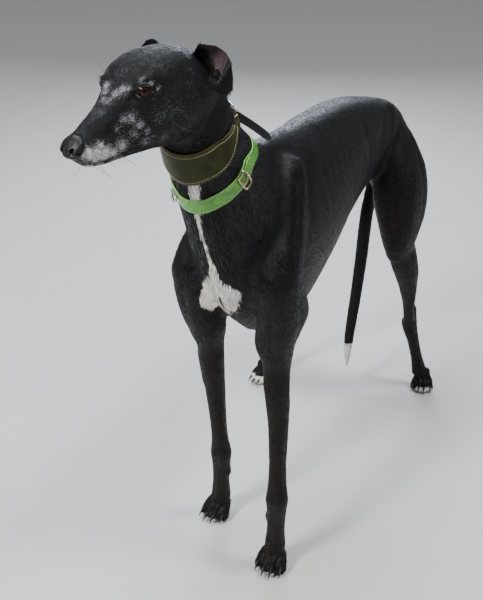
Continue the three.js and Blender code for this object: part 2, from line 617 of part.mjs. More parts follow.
// Sets a paw under its leg, mirrored for the right side.
function placePaw(form, { side, foot, outward, pawSize }) {
  const placed = form.clone().scale(side * pawSize, pawSize, pawSize);
  return placed.rotateZ(THREE.MathUtils.degToRad(side * outward)).translate(...foot);
}

const aboveFloor = (solid) => {
  const block = new THREE.BoxGeometry(4 * CUT_REACH, 4 * CUT_REACH, 2 * CUT_REACH);
  return solid.intersect(toSolid(block.translate(0, 0, CUT_REACH)));
};

const pieces = { ...headPieces };

function addPaw(name, joints) {
  const { palm, toes, mainPad } = pawForms();
  const set = (form) => placePaw(form, joints);
  const solids = [toSolid(set(palm)), toSolid(set(mainPad))];
  toes.forEach(({ toe, claw }, i) => {
    const toeForm = set(toe);
    solids.push(toSolid(toeForm));
    pieces[`claw_${name}_${i + 1}`] = largest(toSolid(set(claw)).subtract(toSolid(grown(toeForm, JOINT_GAP))));
  });
  return joined(solids);
}

const rootForms = [];

for (const [name, joints] of Object.entries({ left: LEFT_FORE, right: RIGHT_FORE })) {
  const forms = forelegForms(joints);
  rootForms.push(forms.upper, forms.lower);
  const paw = addPaw(`fore_${name}`, joints);
  const limb = joined([forms.upper, forms.lower, ...forms.bumps].map(toSolid)).add(paw);
  const planes = [
    { point: joints.elbow, normal: [0, 0, -1] },
    { point: between(joints.carpus, joints.elbow, 0.08), normal: [0, 0, -1] },
    { point: forms.fetlock, normal: [0, -0.3, -1] },
  ];
  const [shoulder, forearm, pastern, foot] = partAlong(aboveFloor(limb), planes);
  Object.assign(pieces, { [`shoulder_${name}`]: shoulder, [`forearm_${name}`]: forearm,
    [`pastern_${name}`]: pastern, [`paw_fore_${name}`]: foot });
}

for (const [name, joints] of Object.entries({ left: LEFT_HIND, right: RIGHT_HIND })) {
  const forms = hindlegForms(joints);
  rootForms.push(forms.thigh, forms.gaskin);
  const paw = addPaw(`hind_${name}`, joints);
  const limb = joined([forms.thigh, forms.gaskin, forms.lower].map(toSolid)).add(paw);
  const planes = [
    { point: stepFrom(joints.stifle, joints.side, 0, 0, -22), normal: [0, 0, -1] },
    { point: stepFrom(joints.hock, joints.side, 0, -6, 14), normal: [0, 0.5, -0.87] },
    { point: forms.fetlock, normal: [0, -0.3, -1] },
  ];
  const [thigh, gaskin, hock, foot] = partAlong(aboveFloor(limb), planes);
  Object.assign(pieces, { [`thigh_${name}`]: thigh, [`gaskin_${name}`]: gaskin,
    [`hock_${name}`]: hock, [`paw_hind_${name}`]: foot });
}

// The tail and the trunk

const tailForm = limbForm(TAIL_STATIONS, 2, 10);
const tailPlanes = [
  { point: [-28, 372, 440], normal: [0, 0.25, -1] },
  { point: [-30, 330, 235], normal: [0, 0.2, -1] },
];
const [tailBase, tailMiddle, tailTip] = partAlong(toSolid(tailForm), tailPlanes);
Object.assign(pieces, { tail_base: tailBase, tail_middle: tailMiddle, tail_tip: tailTip });

let trunk = toSolid(trunkForm);
for (const form of [...rootForms, tailForm]) trunk = trunk.subtract(toSolid(grown(form, JOINT_GAP)));
for (const form of [skullForm, jawForm]) trunk = trunk.subtract(toSolid(onHead(grown(form, JOINT_GAP))));
const trunkPlanes = [
  { point: [0, 225, 600], normal: [0, -1, -0.1] },
  { point: [0, 40, 560], normal: [0, -1, 0.05] },
  { point: [0, -284, 600], normal: [0, -0.87, 0.5] },
];
const [rump, loin, chest, neck] = partAlong(largest(trunk), trunkPlanes);
Object.assign(pieces, { rump, loin, chest, neck });

// Collars

const neckMesh = new THREE.Mesh(trunkForm, new THREE.MeshBasicMaterial({ side: THREE.DoubleSide }));
const caster = new THREE.Raycaster();

// The spot of a collar on the neck: round it by an angle from the left side to the nape,
// up it along its axis, and lifted off the neck.
function onCollar({ at, axis, sag }, angle, up, lift) {
  const along = new THREE.Vector3(...axis).normalize();
  const lowered = up - sag * THREE.MathUtils.smoothstep(Math.sin(angle), 0, 1);
  const left = new THREE.Vector3(1, 0, 0);
  const back = along.clone().cross(left);
  const out = left.multiplyScalar(Math.cos(angle)).addScaledVector(back, Math.sin(angle));
  const start = new THREE.Vector3(...at).addScaledVector(along, lowered);
  caster.set(start, out);
  const reach = caster.intersectObject(neckMesh)[0].distance;
  return start.addScaledVector(out, reach + lift);
}

// The width of a band: broad round the throat, narrower from the sides of the neck to the nape.
function bandWidth({ throat, nape }, angle) {
  const fromThroat = Math.acos(-Math.sin(angle));
  return throat + (nape - throat) * THREE.MathUtils.smoothstep(fromThroat, 0.7, 1.8);
}

// The directions of a collar at an angle: round it, up it and away from the neck.
function collarFrame(collar, angle, lift) {
  const step = 0.08;
  const spot = onCollar(collar, angle, 0, lift);
  const round = onCollar(collar, angle + step, 0, lift).sub(onCollar(collar, angle - step, 0, lift)).normalize();
  const up = onCollar(collar, angle, 5, lift).sub(onCollar(collar, angle, -5, lift)).normalize();
  const out = round.clone().cross(up).normalize();
  const side = out.clone().cross(round);
  return (along, across, away) => spot.clone().addScaledVector(round, along)
    .addScaledVector(side, across).addScaledVector(out, away);
}

// A straight wire between two points.
function wire(from, to, radius) {
  const along = to.clone().sub(from);
  const form = new THREE.CylinderGeometry(radius, radius, along.length(), 6);
  form.applyQuaternion(new THREE.Quaternion().setFromUnitVectors(new THREE.Vector3(0, 1, 0), along.normalize()));
  const middle = from.clone().add(to).multiplyScalar(0.5);
  return form.translate(...middle);
}

// A buckle: a frame of wire with round corners over the strap, and its prong.
function buckleSolid(collar, { angle, half, over, wire: radius }, lift) {
  const turn = THREE.MathUtils.degToRad(angle);
  const place = collarFrame(collar, turn, lift + radius);
  const high = bandWidth(collar, turn) / 2 + over;
  const count = 16;
  const points = [];
  for (let i = 0; i < count; i += 1) {
    const spin = (2 * Math.PI * i) / count;
    const along = half * power(Math.cos(spin), 5);
    points.push(place(along, high * power(Math.sin(spin), 5), -0.012 * along * along));
  }
  const prong = wire(place(-half, 0, 0), place(half, 0, 0.4), radius * 0.8);
  return toSolid(hoop(points, radius, 6)).add(toSolid(prong));
}

// A band round the neck, its inner side taken off by the neck itself.
function bandForm(collar) {
  const rings = [];
  for (let i = 0; i < COLLAR_COLUMNS; i += 1) {
    const angle = (2 * Math.PI * i) / COLLAR_COLUMNS;
    const half = bandWidth(collar, angle) / 2;
    const section = [[-half, -2], [-half, collar.thick], [0, collar.thick], [half, collar.thick], [half, -2]];
    rings.push(section.map(([up, lift]) => onCollar(collar, angle, up, lift)));
  }
  return closedLoop(rings);
}

const bareNeck = joined([grown(trunkForm, JOINT_GAP), onHead(grown(skullForm, JOINT_GAP)),
  onHead(grown(jawForm, JOINT_GAP))].map(toSolid));
for (const [name, collar] of Object.entries({ leather_collar: LEATHER, green_collar: GREEN })) {
  pieces[name] = largest(toSolid(bandForm(collar)).subtract(bareNeck));
}

// The free end of the leather strap, standing off the neck behind its buckle
function leatherEnd({ from, to, width, thick, point }) {
  const start = new THREE.Vector3(...from);
  const end = new THREE.Vector3(...to);
  const along = end.clone().sub(start).normalize();
  const out = new THREE.Vector3(1, 0, 0).addScaledVector(along, -along.x).normalize();
  const high = out.clone().cross(along).normalize();
  const sections = [[0, 1], [0.4, 1], [point, 1], [0.94, 0.6], [1, 0.12]].map(([t, part]) => {
    const spot = start.clone().lerp(end, t).addScaledVector(out, 3 * Math.sin(Math.PI * t));
    const corner = (across, away) => spot.clone().addScaledVector(high, (across * part * width) / 2)
      .addScaledVector(out, (away * thick) / 2);
    return [corner(-1, -1), corner(1, -1), corner(1, 1), corner(-1, 1)];
  });
  return toSolid(surfaceOfRings(sections));
}

// The end of the green strap, lying on the band past its buckle
function greenEnd(collar, { from, to, width, thick, lift }) {
  const sections = [];
  const steps = 6;
  for (let i = 0; i <= steps; i += 1) {
    const angle = THREE.MathUtils.degToRad(from + ((to - from) * i) / steps);
    const place = collarFrame(collar, angle, collar.thick + lift);
    const half = (i === steps ? 0.55 : 1) * (width / 2);
    sections.push([place(0, -half, 0), place(0, half, 0), place(0, half, thick), place(0, -half, thick)]);
  }
  return toSolid(surfaceOfRings(sections));
}

// The ring of the green collar: a D with its straight side against the band
function greenRing(collar, { angle, half, drop, wire: radius }) {
  const place = collarFrame(collar, THREE.MathUtils.degToRad(angle), collar.thick + radius + 0.4);
  const count = 12;
  const points = [];
  for (let i = 0; i < count; i += 1) {
    const spin = (Math.PI * i) / (count - 1);
    points.push(place(half * Math.cos(spin), 4 - drop * Math.sin(spin), 3 * Math.sin(spin)));
  }
  return toSolid(hoop(points, radius, 6));
}

const bands = joined([bareNeck, toSolid(grown(bandForm(LEATHER), JOINT_GAP)),
  toSolid(grown(bandForm(GREEN), JOINT_GAP))]);
const green = greenEnd(GREEN, GREEN_END);
const fittings = {
  green_end: green,
  leather_buckle: buckleSolid(LEATHER, LEATHER_BUCKLE, LEATHER.thick + 0.4),
  leather_end: leatherEnd(LEATHER_END),
  green_buckle: buckleSolid(GREEN, GREEN_BUCKLE, GREEN.thick + GREEN_END.thick + 2 * GREEN_END.lift),
  green_ring: greenRing(GREEN, GREEN_RING),
};
for (const [name, solid] of Object.entries(fittings)) pieces[name] = largest(solid.subtract(bands));
pieces.green_buckle = largest(pieces.green_buckle.subtract(toSolid(grown(toGeometry(green), JOINT_GAP))));
pieces.leather_end = largest(pieces.leather_end
  .subtract(toSolid(grown(toGeometry(fittings.leather_buckle), JOINT_GAP))));

// Materials and the scene graph

const finishes = {
  coat: { color: "#1b1b1e", roughness: 0.6, metalness: 0 },
  nose: { color: "#0d0d0e", roughness: 0.45, metalness: 0 },
  eye: { color: "#2a1608", roughness: 0.12, metalness: 0 },
  claw: { color: "#2b2522", roughness: 0.4, metalness: 0 },
  leather: { color: "#4a4a24", roughness: 0.5, metalness: 0 },
  webbing: { color: "#5ec22e", roughness: 0.4, metalness: 0 },
  metal: { color: "#b9b4a6", roughness: 0.25, metalness: 1 },
};

function finishOf(name) {
  if (name === "nose") return finishes.nose;
  if (name.startsWith("eye_")) return finishes.eye;
  if (name.startsWith("claw_")) return finishes.claw;
  if (name.endsWith("buckle") || name.endsWith("ring")) return finishes.metal;
  if (name.startsWith("leather_")) return finishes.leather;
  if (name.startsWith("green_")) return finishes.webbing;
  return finishes.coat;
}

const dog = new THREE.Group();
const head = new THREE.Group();
head.position.copy(headFrame.position);
head.quaternion.copy(headFrame.quaternion);
dog.add(head);
for (const [name, solid] of Object.entries(pieces)) {
  const mesh = new THREE.Mesh(toGeometry(solid), new THREE.MeshStandardMaterial(finishOf(name)));
  mesh.name = name;
  (name in headPieces ? head : dog).add(mesh);
}

// The middle of the outline on the floor is the origin.
const outline = new THREE.Box3().setFromObject(dog, true);
const onFloor = outline.getCenter(new THREE.Vector3()).setZ(0);
dog.position.sub(onFloor);

export default dog;
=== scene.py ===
"""A standing greyhound, life size, with a broad leather collar and a narrow green one."""
import math

import bmesh
import bpy
import numpy as np
from mathutils import Matrix, Vector
from mathutils.bvhtree import BVHTree


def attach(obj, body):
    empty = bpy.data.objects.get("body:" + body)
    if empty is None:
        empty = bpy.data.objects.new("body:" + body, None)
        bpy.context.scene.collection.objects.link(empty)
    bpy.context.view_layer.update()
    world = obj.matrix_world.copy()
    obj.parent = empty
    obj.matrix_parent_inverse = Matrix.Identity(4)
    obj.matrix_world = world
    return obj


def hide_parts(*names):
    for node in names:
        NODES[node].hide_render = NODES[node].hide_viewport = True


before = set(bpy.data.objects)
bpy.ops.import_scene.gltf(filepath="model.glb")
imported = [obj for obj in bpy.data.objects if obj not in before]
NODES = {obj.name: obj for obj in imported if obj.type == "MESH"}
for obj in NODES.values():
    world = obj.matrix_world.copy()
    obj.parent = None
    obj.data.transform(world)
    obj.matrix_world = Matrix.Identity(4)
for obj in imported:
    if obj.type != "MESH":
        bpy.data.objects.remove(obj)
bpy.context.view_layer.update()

# General sizes; lengths ending in MM are in millimetres, all others in metres

MM = 0.001
MIDDLE_MM = np.array([47.619, 92.880, 0.0])   # from the dog's own middle line to the frame's origin
HEAD_AT_MM = np.array([3.0, -392.0, 807.0])   # the middle of the occiput
HEAD_TURN, HEAD_NOD, HEAD_LEAN = 9.5, 11.8, 0.5
SEED = 7
SWELL = 0.0007           # how far the solids are grown so that they run into one another
COAT_DEPTH = 0.0008      # how far the skin lies inside the solids
BODY_GRID = 0.0026
HEAD_GRID = 0.0011
NOSE_GRID = 0.0006
SKIN_LIMIT, NOSE_LIMIT, UNWRAP_LIMIT = 190000, 30000, 9000     # triangles
SIDES = {"left": 1, "right": -1}

# Joints of the legs, in mm from the dog's middle line, as it stands

FORELEGS = {
    "left": {"withers": (39, -172, 662), "shoulder": (73, -282, 515), "elbow": (66, -255, 375),
             "carpus": (92, -303, 148), "foot": (83, -282, 0), "outward": 6, "size": 1.0},
    "right": {"withers": (-39, -172, 662), "shoulder": (-67, -282, 512), "elbow": (-67, -238, 372),
              "carpus": (-50, -232, 148), "foot": (-62, -207, 0), "outward": 4, "size": 1.0},
}
HINDLEGS = {
    "left": {"hip": (56, 290, 590), "stifle": (82, 236, 395), "hock": (86, 360, 178),
             "foot": (116, 409, 0), "outward": 14, "size": 0.93},
    "right": {"hip": (-56, 290, 590), "stifle": (-128, 206, 400), "hock": (-184, 281, 174),
              "foot": (-214, 262, 0), "outward": 4, "size": 0.93},
}
TOES_ACROSS = (-14.5, -5, 5, 14.5)
TOES_SET_BACK = (10, 1, 0, 9)


# Places on the dog

def head_axes():
    """The head's own axes, as columns: its left, its back, its top."""
    turn, nod, lean = np.radians([-HEAD_TURN, HEAD_NOD, HEAD_LEAN])
    about_z = Matrix.Rotation(turn, 3, "Z")
    about_x = Matrix.Rotation(nod, 3, "X")
    about_y = Matrix.Rotation(lean, 3, "Y")
    return np.array(about_z @ about_x @ about_y)


HEAD_AXES = head_axes()


def body_spot(x, y, z):
    """A place given in mm from the dog's middle line, in the frame."""
    return (np.array([x, y, z], float) + MIDDLE_MM) * MM


def head_spot(forward, left, up):
    """A place given in mm forward, left and up from the occiput, in the frame."""
    return (HEAD_AT_MM + HEAD_AXES @ np.array([left, -forward, up], float) + MIDDLE_MM) * MM


def head_way(forward, left, up):
    """A direction given in the head's own terms."""
    way = HEAD_AXES @ np.array([left, -forward, up], float)
    return way / np.linalg.norm(way)


def to_head(points):
    """Points of the frame as forward, left, up from the occiput, in mm."""
    local = (points / MM - MIDDLE_MM - HEAD_AT_MM) @ HEAD_AXES
    return np.stack([-local[:, 1], local[:, 0], local[:, 2]], axis=1)


def to_body(points):
    """Points of the frame in mm from the dog's middle line."""
    return points / MM - MIDDLE_MM


def between(start, end, part):
    return tuple(a + (b - a) * part for a, b in zip(start, end))


def leg_step(spot, side, out, back, up):
    """A step in mm from a place on a leg: outwards, towards the tail and upwards."""
    return (spot[0] + side * out, spot[1] + back, spot[2] + up)


def paw_spot(leg, side, across, ahead, up):
    """A place on a paw: across it outwards, towards its toes and up from the floor."""
    turn = math.radians(side * leg["outward"])
    x, y = side * across * leg["size"], -ahead * leg["size"]
    foot = leg["foot"]
    return (foot[0] + x * math.cos(turn) - y * math.sin(turn),
            foot[1] + x * math.sin(turn) + y * math.cos(turn), up * leg["size"])


def smooth_step(value, low, high):
    part = np.clip((value - low) / (high - low), 0, 1)
    return part * part * (3 - 2 * part)


def unit(ways):
    return ways / np.maximum(np.linalg.norm(ways, axis=-1, keepdims=True), 1e-12)


# Mesh helpers

def read_vectors(mesh, kind):
    values = np.zeros(len(mesh.vertices) * 3)
    mesh.vertices.foreach_get(kind, values)
    return values.reshape(-1, 3)


def read_points(mesh):
    return read_vectors(mesh, "co")


def read_normals(mesh):
    return read_vectors(mesh, "normal")


def write_points(mesh, points):
    mesh.vertices.foreach_set("co", np.ascontiguousarray(points).ravel())
    mesh.update()


def new_object(name, mesh):
    made = bpy.data.objects.new(name, mesh)
    bpy.context.scene.collection.objects.link(made)
    return made


def object_of(name, points, faces):
    mesh = bpy.data.meshes.new(name)
    mesh.from_pydata([tuple(spot) for spot in points], [], [tuple(face) for face in faces])
    mesh.update()
    return new_object(name, mesh)


def select_only(thing):
    for other in bpy.context.selected_objects:
        other.select_set(False)
    thing.select_set(True)
    bpy.context.view_layer.objects.active = thing


def apply_modifiers(thing):
    select_only(thing)
    for modifier in list(thing.modifiers):
        bpy.ops.object.modifier_apply(modifier=modifier.name)


def join_all(things, name):
    select_only(things[0])
    for other in things[1:]:
        other.select_set(True)
    if len(things) > 1:
        bpy.ops.object.join()
    things[0].name = name
    return things[0]


def shade_smooth(thing):
    thing.data.polygons.foreach_set("use_smooth", [True] * len(thing.data.polygons))
    thing.data.update()


def face_outward(thing):
    mesh = bmesh.new()
    mesh.from_mesh(thing.data)
    bmesh.ops.recalc_face_normals(mesh, faces=mesh.faces)
    mesh.to_mesh(thing.data)
    mesh.free()


def add_number(mesh, name, values):
    layer = mesh.attributes.new(name, "FLOAT", "POINT")
    layer.data.foreach_set("value", np.asarray(values, np.float32))


def add_way(mesh, name, ways):
    layer = mesh.attributes.new(name, "FLOAT_VECTOR", "POINT")
    layer.data.foreach_set("vector", np.asarray(ways, np.float32).ravel())


def tree_of(thing):
    mesh = bmesh.new()
    mesh.from_mesh(thing.data)
    tree = BVHTree.FromBMesh(mesh)
    mesh.free()
    return tree


def node_copy(member, swell=0.0, cut=None):
    """A node's solid as a mesh of its own, grown by a little and cut off past a plane."""
    part = bmesh.new()
    part.from_mesh(NODES[member].data)
    bmesh.ops.remove_doubles(part, verts=part.verts, dist=2e-6)
    part.normal_update()
    ways = [vertex.normal.copy() for vertex in part.verts]
    for vertex, way in zip(part.verts, ways):
        vertex.co += way * swell
    if cut is not None:
        spot, way = cut
        pieces = list(part.verts) + list(part.edges) + list(part.faces)
        bmesh.ops.bisect_plane(part, geom=pieces, plane_co=spot, plane_no=way, clear_outer=True)
        bmesh.ops.holes_fill(part, edges=part.edges, sides=0)
    mesh = bpy.data.meshes.new(member + "_copy")
    part.to_mesh(mesh)
    part.free()
    return new_object(member + "_copy", mesh)


def even_surface(thing, grid):
    """One closed surface of even squares over all that the object holds."""
    modifier = thing.modifiers.new("even", "REMESH")
    modifier.mode = "VOXEL"
    modifier.voxel_size = grid
    modifier.use_smooth_shade = True
    apply_modifiers(thing)


def smooth_copy(name, members, levels=2):
    """The nodes' solids with their edges rounded off by subdivision."""
    thing = join_all([node_copy(member) for member in members], name)
    modifier = thing.modifiers.new("round", "SUBSURF")
    modifier.levels = levels
    modifier.render_levels = levels
    apply_modifiers(thing)
    shade_smooth(thing)
    return thing


def sparser(thing, limit):
    """Fewer triangles, fewest where the surface is plain."""
    triangles = sum(len(face.vertices) - 2 for face in thing.data.polygons)
    if triangles > limit:
        modifier = thing.modifiers.new("sparser", "DECIMATE")
        modifier.ratio = limit / triangles
        apply_modifiers(thing)


def ring_faces(count, sides, closed):
    """Faces round a tube of rings, with its two ends where it isn't closed on itself."""
    faces = []
    for ring in range(count if closed else count - 1):
        row, after = ring * sides, ((ring + 1) % count) * sides
        for k in range(sides):
            following = (k + 1) % sides
            faces.append((row + k, row + following, after + following, after + k))
    if not closed:
        faces += [tuple(range(sides)), tuple(range((count - 1) * sides, count * sides))]
    return faces


def finish_with(thing, material):
    thing.data.materials.clear()
    thing.data.materials.append(material)


def carry(thing, name, slot, *nodes):
    """Names a finished piece, puts it on the dog and hides the solids it stands for."""
    thing.name = name
    thing.data.name = name
    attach(thing, "root")
    if nodes:
        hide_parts(*nodes)


def complete(thing, material, name, slot, *nodes):
    finish_with(thing, material)
    carry(thing, name, slot, *nodes)


class Surface:
    """The points of a mesh with their neighbours, for smoothing and modelling in numbers."""

    def __init__(self, thing):
        self.mesh = thing.data
        self.points = read_points(self.mesh)
        edges = np.zeros(len(self.mesh.edges) * 2, int)
        self.mesh.edges.foreach_get("vertices", edges)
        self.first, self.second = edges.reshape(-1, 2).T
        self.refresh()

    def neighbours(self, chosen):
        """The mean of the neighbours of the chosen points, as a function of all points' values."""
        place = np.full(len(self.points), -1)
        place[chosen] = np.arange(len(chosen))
        into = np.concatenate([self.first, self.second])
        source = np.concatenate([self.second, self.first])
        kept = place[into] >= 0
        into, source = place[into[kept]], source[kept]
        count = np.bincount(into, minlength=len(chosen)).astype(float)

        def mean(values):
            if values.ndim == 1:
                return np.bincount(into, values[source], len(chosen)) / count
            sums = [np.bincount(into, column[source], len(chosen)) for column in values.T]
            return np.stack(sums, axis=1) / count[:, None]

        return mean

    def relax(self, rounds, share=None):
        """Smooths the surface, then moves it back out along itself so that it keeps its fullness."""
        start = self.points.copy()
        share = np.ones(len(self.points)) if share is None else share
        chosen = np.nonzero(share > 0.01)[0]
        mean = self.neighbours(chosen)
        step = 0.7 * share[chosen, None]
        for _ in range(rounds):
            self.points[chosen] += step * (mean(self.points) - self.points[chosen])
        self.refresh()
        lost = ((start - self.points) * self.normals).sum(1)
        for _ in range(rounds):
            lost[chosen] = mean(lost)
        self.points += self.normals * lost[:, None]
        self.refresh()

    def refresh(self):
        write_points(self.mesh, self.points)
        self.normals = read_normals(self.mesh)

    def find(self):
        """Makes ready to find the nearest place on the surface."""
        faces = [tuple(face.vertices) for face in self.mesh.polygons]
        self.tree = BVHTree.FromPolygons(self.points.tolist(), faces)

    def stroke(self, path, width, height):
        """A ridge, or a groove where height is below zero, along a path of places that is first laid
        on the surface. Width and height are in mm."""
        width, height = width * MM, height * MM
        laid = [np.array(self.tree.find_nearest(Vector(spot))[0]) for spot in path]
        low = np.min(laid, axis=0) - 3 * width
        high = np.max(laid, axis=0) + 3 * width
        near = np.nonzero(((self.points > low) & (self.points < high)).all(1))[0]
        here = self.points[near]
        nearest = np.linalg.norm(here - laid[0], axis=1)
        for start, end in zip(laid[:-1], laid[1:]):
            along = end - start
            part = np.clip((here - start) @ along / max(along @ along, 1e-12), 0, 1)
            away = np.linalg.norm(here - start - part[:, None] * along, axis=1)
            nearest = np.minimum(nearest, away)
        amount = height * np.exp(-((nearest / width) ** 2))
        self.points[near] += self.normals[near] * amount[:, None]

    def shape(self, forms):
        """Strokes a list of forms: width and height in mm and a path of places."""
        self.find()
        for width, height, path in forms:
            self.stroke(path, width, height)
        self.refresh()

    def push_in(self, depth):
        self.points -= self.normals * np.broadcast_to(depth, len(self.points))[:, None]
        self.refresh()


# Eyes: where the balls sit, in mm in the head's own terms, and the opening of the lids

EYE_RADIUS_MM = 11.0
EYE_AT_MM = (115.5, 27.0, 35.5)
EYE_GAZE = (0.66, 0.74, 0.12)
OPENING_HALF_MM, OPENING_HIGH_MM = 11.2, 6.3
CORNER_DROP = 0.10         # how much the opening falls towards its inner corner
LOWER_LID_SHARE = 0.88     # the lower half of the opening against the upper


class Eye:
    """One eye's own axes: across it, up it and out of it."""

    def __init__(self, side):
        forward, left, up = EYE_AT_MM
        self.middle = head_spot(forward, side * left, up)
        self.gaze = head_way(EYE_GAZE[0], side * EYE_GAZE[1], EYE_GAZE[2])
        top = head_way(0, 0, 1)
        self.high = unit(top - self.gaze * (top @ self.gaze))
        self.across = np.cross(self.high, self.gaze)
        if self.across @ head_way(1, 0, 0) < 0:
            self.across = -self.across

    def local(self, points):
        """Places in mm across (towards the nose), up and out of the eye."""
        away = (points - self.middle) / MM
        return away @ self.across, away @ self.high, away @ self.gaze

    def spoke(self, spin):
        """The direction off the gaze at an angle round it."""
        return self.across * math.cos(spin) + self.high * math.sin(spin)

    def reach(self, points):
        """How far places lie from the middle of the ball, in mm."""
        across, high, out = self.local(points)
        return np.sqrt(across ** 2 + high ** 2 + out ** 2)

    def from_rim(self, points):
        """How far places lie outside the almond of the lids, in mm."""
        across, high, _ = self.local(points)
        lowered = high + CORNER_DROP * np.maximum(across, 0)
        sweep = across / OPENING_HALF_MM
        fullness = np.where(lowered > 0, 1.0, LOWER_LID_SHARE)
        height = OPENING_HIGH_MM * fullness * np.sqrt(np.maximum(1 - 0.4 * sweep ** 2, 0.3))
        ratio = np.sqrt(sweep ** 2 + (lowered / height) ** 2)
        return np.hypot(across, high) * (1 - 1 / np.maximum(ratio, 0.05))


EYES = {name: Eye(side) for name, side in SIDES.items()}


# The skin

HEAD_NODES = ["head", "lower_jaw", "ear_left", "ear_right"]
TRUNK_NODES = ["chest", "loin", "rump", "tail_base", "tail_middle", "tail_tip"]
LEG_PARTS = ["shoulder", "forearm", "pastern", "paw_fore", "thigh", "gaskin", "hock", "paw_hind"]
LEG_NODES = [part + "_" + side for side in SIDES for part in LEG_PARTS]
COLLAR_SPOT = body_spot(0, -375.5, 741.5)
COLLAR_WAY = unit(np.array([0, -0.72, 0.694]))
CUT_OVERLAP = 0.004
NOSE_CLEARANCE = 0.0003


def ear_root(side):
    """The gristle that joins the cup of an ear to its flap."""
    path = [head_spot(16, side * 48, 15), head_spot(26, side * 55, 16), head_spot(31, side * 60, 14)]
    return tube("ear_root", path, 0.0048, 12)


def make_skin(name, things, grid, way):
    """One even surface over the given solids and the neck up to the collar, cut off past it."""
    spot = Vector(COLLAR_SPOT + way * CUT_OVERLAP)
    things.append(node_copy("neck", SWELL, (spot, Vector(way))))
    skin = join_all(things, name)
    even_surface(skin, grid)
    return skin


def make_head_skin():
    things = [node_copy(member, SWELL) for member in HEAD_NODES + ["eye_left", "eye_right"]]
    things.append(node_copy("nose", -NOSE_CLEARANCE))
    things += [ear_root(side) for side in SIDES.values()]
    return make_skin("head_skin", things, HEAD_GRID, -COLLAR_WAY)


def make_body_skin():
    things = [node_copy(member, SWELL) for member in TRUNK_NODES + LEG_NODES]
    return make_skin("body_skin", things, BODY_GRID, COLLAR_WAY)


def ear_share(points):
    """1 on the free leaf of an ear, 0 on the skull."""
    head = to_head(points)
    out = np.abs(head[:, 1])
    past_skull = np.hypot(np.maximum(out, 0) / 50, np.maximum(head[:, 2], 0) / 58)
    return (smooth_step(past_skull, 1.0, 1.12) * smooth_step(-head[:, 0], -62, -46)
            * smooth_step(head[:, 2], -12, -4))


def both_sides(forms):
    """Forms given on the left of the head, laid there and on the right, or once on its middle line."""
    laid = []
    for width, height, path in forms:
        sides = SIDES.values() if max(spot[1] for spot in path) > 0 else [1]
        for side in sides:
            places = [head_spot(forward, side * left, up) for forward, left, up in path]
            laid.append((width, height, places))
    return laid


# Folds, ridges and hollows of the head: [width, height] in mm and a path [forward, left, up]
HEAD_FORMS = [
    (6, 1.6, [(101, 35, 50), (112, 32, 50), (124, 25, 45)]),  # brow
    (9, 1.6, [(108, 40, 20), (90, 47, 12), (62, 51, 8), (38, 49, 6)]),  # cheekbone
    (13, -2.0, [(94, 43, 35), (74, 46, 38), (54, 47, 38)]),  # temple
    (18, 2.2, [(62, 50, -16)]),  # cheek muscle
    (6, -1.5, [(96, 44, -4), (92, 41, -22), (84, 34, -42)]),  # in front of it
    (6, -1.4, [(130, 25, 31), (145, 24, 21), (166, 21, 8)]),  # below the inner corner of the eye
    (4, 0.8, [(188, 8, 20), (160, 12, 29), (132, 17, 43)]),  # edge of the bridge
    (6, -0.9, [(132, 0, 43), (112, 0, 54), (84, 0, 61), (50, 0, 60)]),  # furrow of the forehead
    (9, 1.5, [(198, 15, -6), (178, 21, -10), (160, 25, -12)]),  # bed of the whiskers
    (8, -0.9, [(190, 16, 6), (168, 23, 2), (150, 28, -2)]),  # above it
    # Line of the mouth, then the upper lip
    (1.5, -1.9, [(207, 8, -19), (193, 11.5, -25), (171, 16, -27), (155, 20.5, -26),
                 (145, 23.5, -25), (135, 27, -24)]),
    (2, 0.8, [(203, 11, -15), (190, 15, -20), (171, 19, -22), (155, 23, -21), (142, 27, -19)]),
    (2, 0.5, [(200, 9, -29), (180, 13, -33), (160, 17, -33), (145, 21, -31)]),  # lower lip
    (2.6, -1.2, [(134, 27.5, -24)]),  # corner of the mouth
    (4, 1.0, [(128, 31, -22), (134, 31, -28), (141, 27, -31)]),  # fold behind the corner
    (3, -0.8, [(122, 33, -18), (124, 31, -30), (130, 27, -38)]),
    (1.1, -0.9, [(219, 0, -9), (214, 0, -15), (208, 0, -20)]),  # cleft of the lip
    (5, 1.0, [(150, 19, -39), (110, 26, -50), (76, 30, -57)]),  # edge of the jaw
    (6, -1.4, [(44, 36, -48), (58, 22, -60), (62, 0, -62)]),  # throat behind the jaw
    (4, 0.9, [(50, 47, 38), (44, 49, 24), (42, 50, 8)]),  # folds before the ear
    (3.5, -0.9, [(56, 48, 36), (50, 50, 22), (50, 51, 6)]),
    (2.2, -0.9, [(126, 22, 33), (132, 20, 27)]),  # tear trough
    (2.4, -0.7, [(100, 37, 26), (110, 37, 21), (122, 31, 21)]),  # crease below the lower lid
]


def shape_lids(surface):
    """Sets the skin round each eye on the lids' own curve: in behind the ball inside the opening,
    a thick rolled rim, a crease above, then over into the face."""
    for eye in EYES.values():
        _, high, out = eye.local(surface.points)
        reach = eye.reach(surface.points)
        near = np.nonzero((reach < 24) & (out > 1))[0]
        away = unit(surface.points[near] - eye.middle)
        rim = eye.from_rim(surface.points[near])
        wanted = np.interp(rim, [-9, -1.6, 0.1, 1.0, 2.2, 3.6, 5.0, 9.0],
                           [9.2, 9.8, 11.55, 12.35, 12.75, 12.45, 12.35, 12.2])
        crease = -0.55 * np.exp(-((rim - 4.3) / 1.0) ** 2) * smooth_step(high[near], 1, 4)
        share = (1 - smooth_step(rim, 3.2, 8.5)) * smooth_step(out[near], 1.5, 5)
        now = reach[near]
        goal = now + share * (wanted + crease - now)
        surface.points[near] = eye.middle + away * goal[:, None] * MM
    surface.refresh()


UNDER_PAD_MM = 2.4     # how far the muzzle's skin draws back behind the pad of the nose


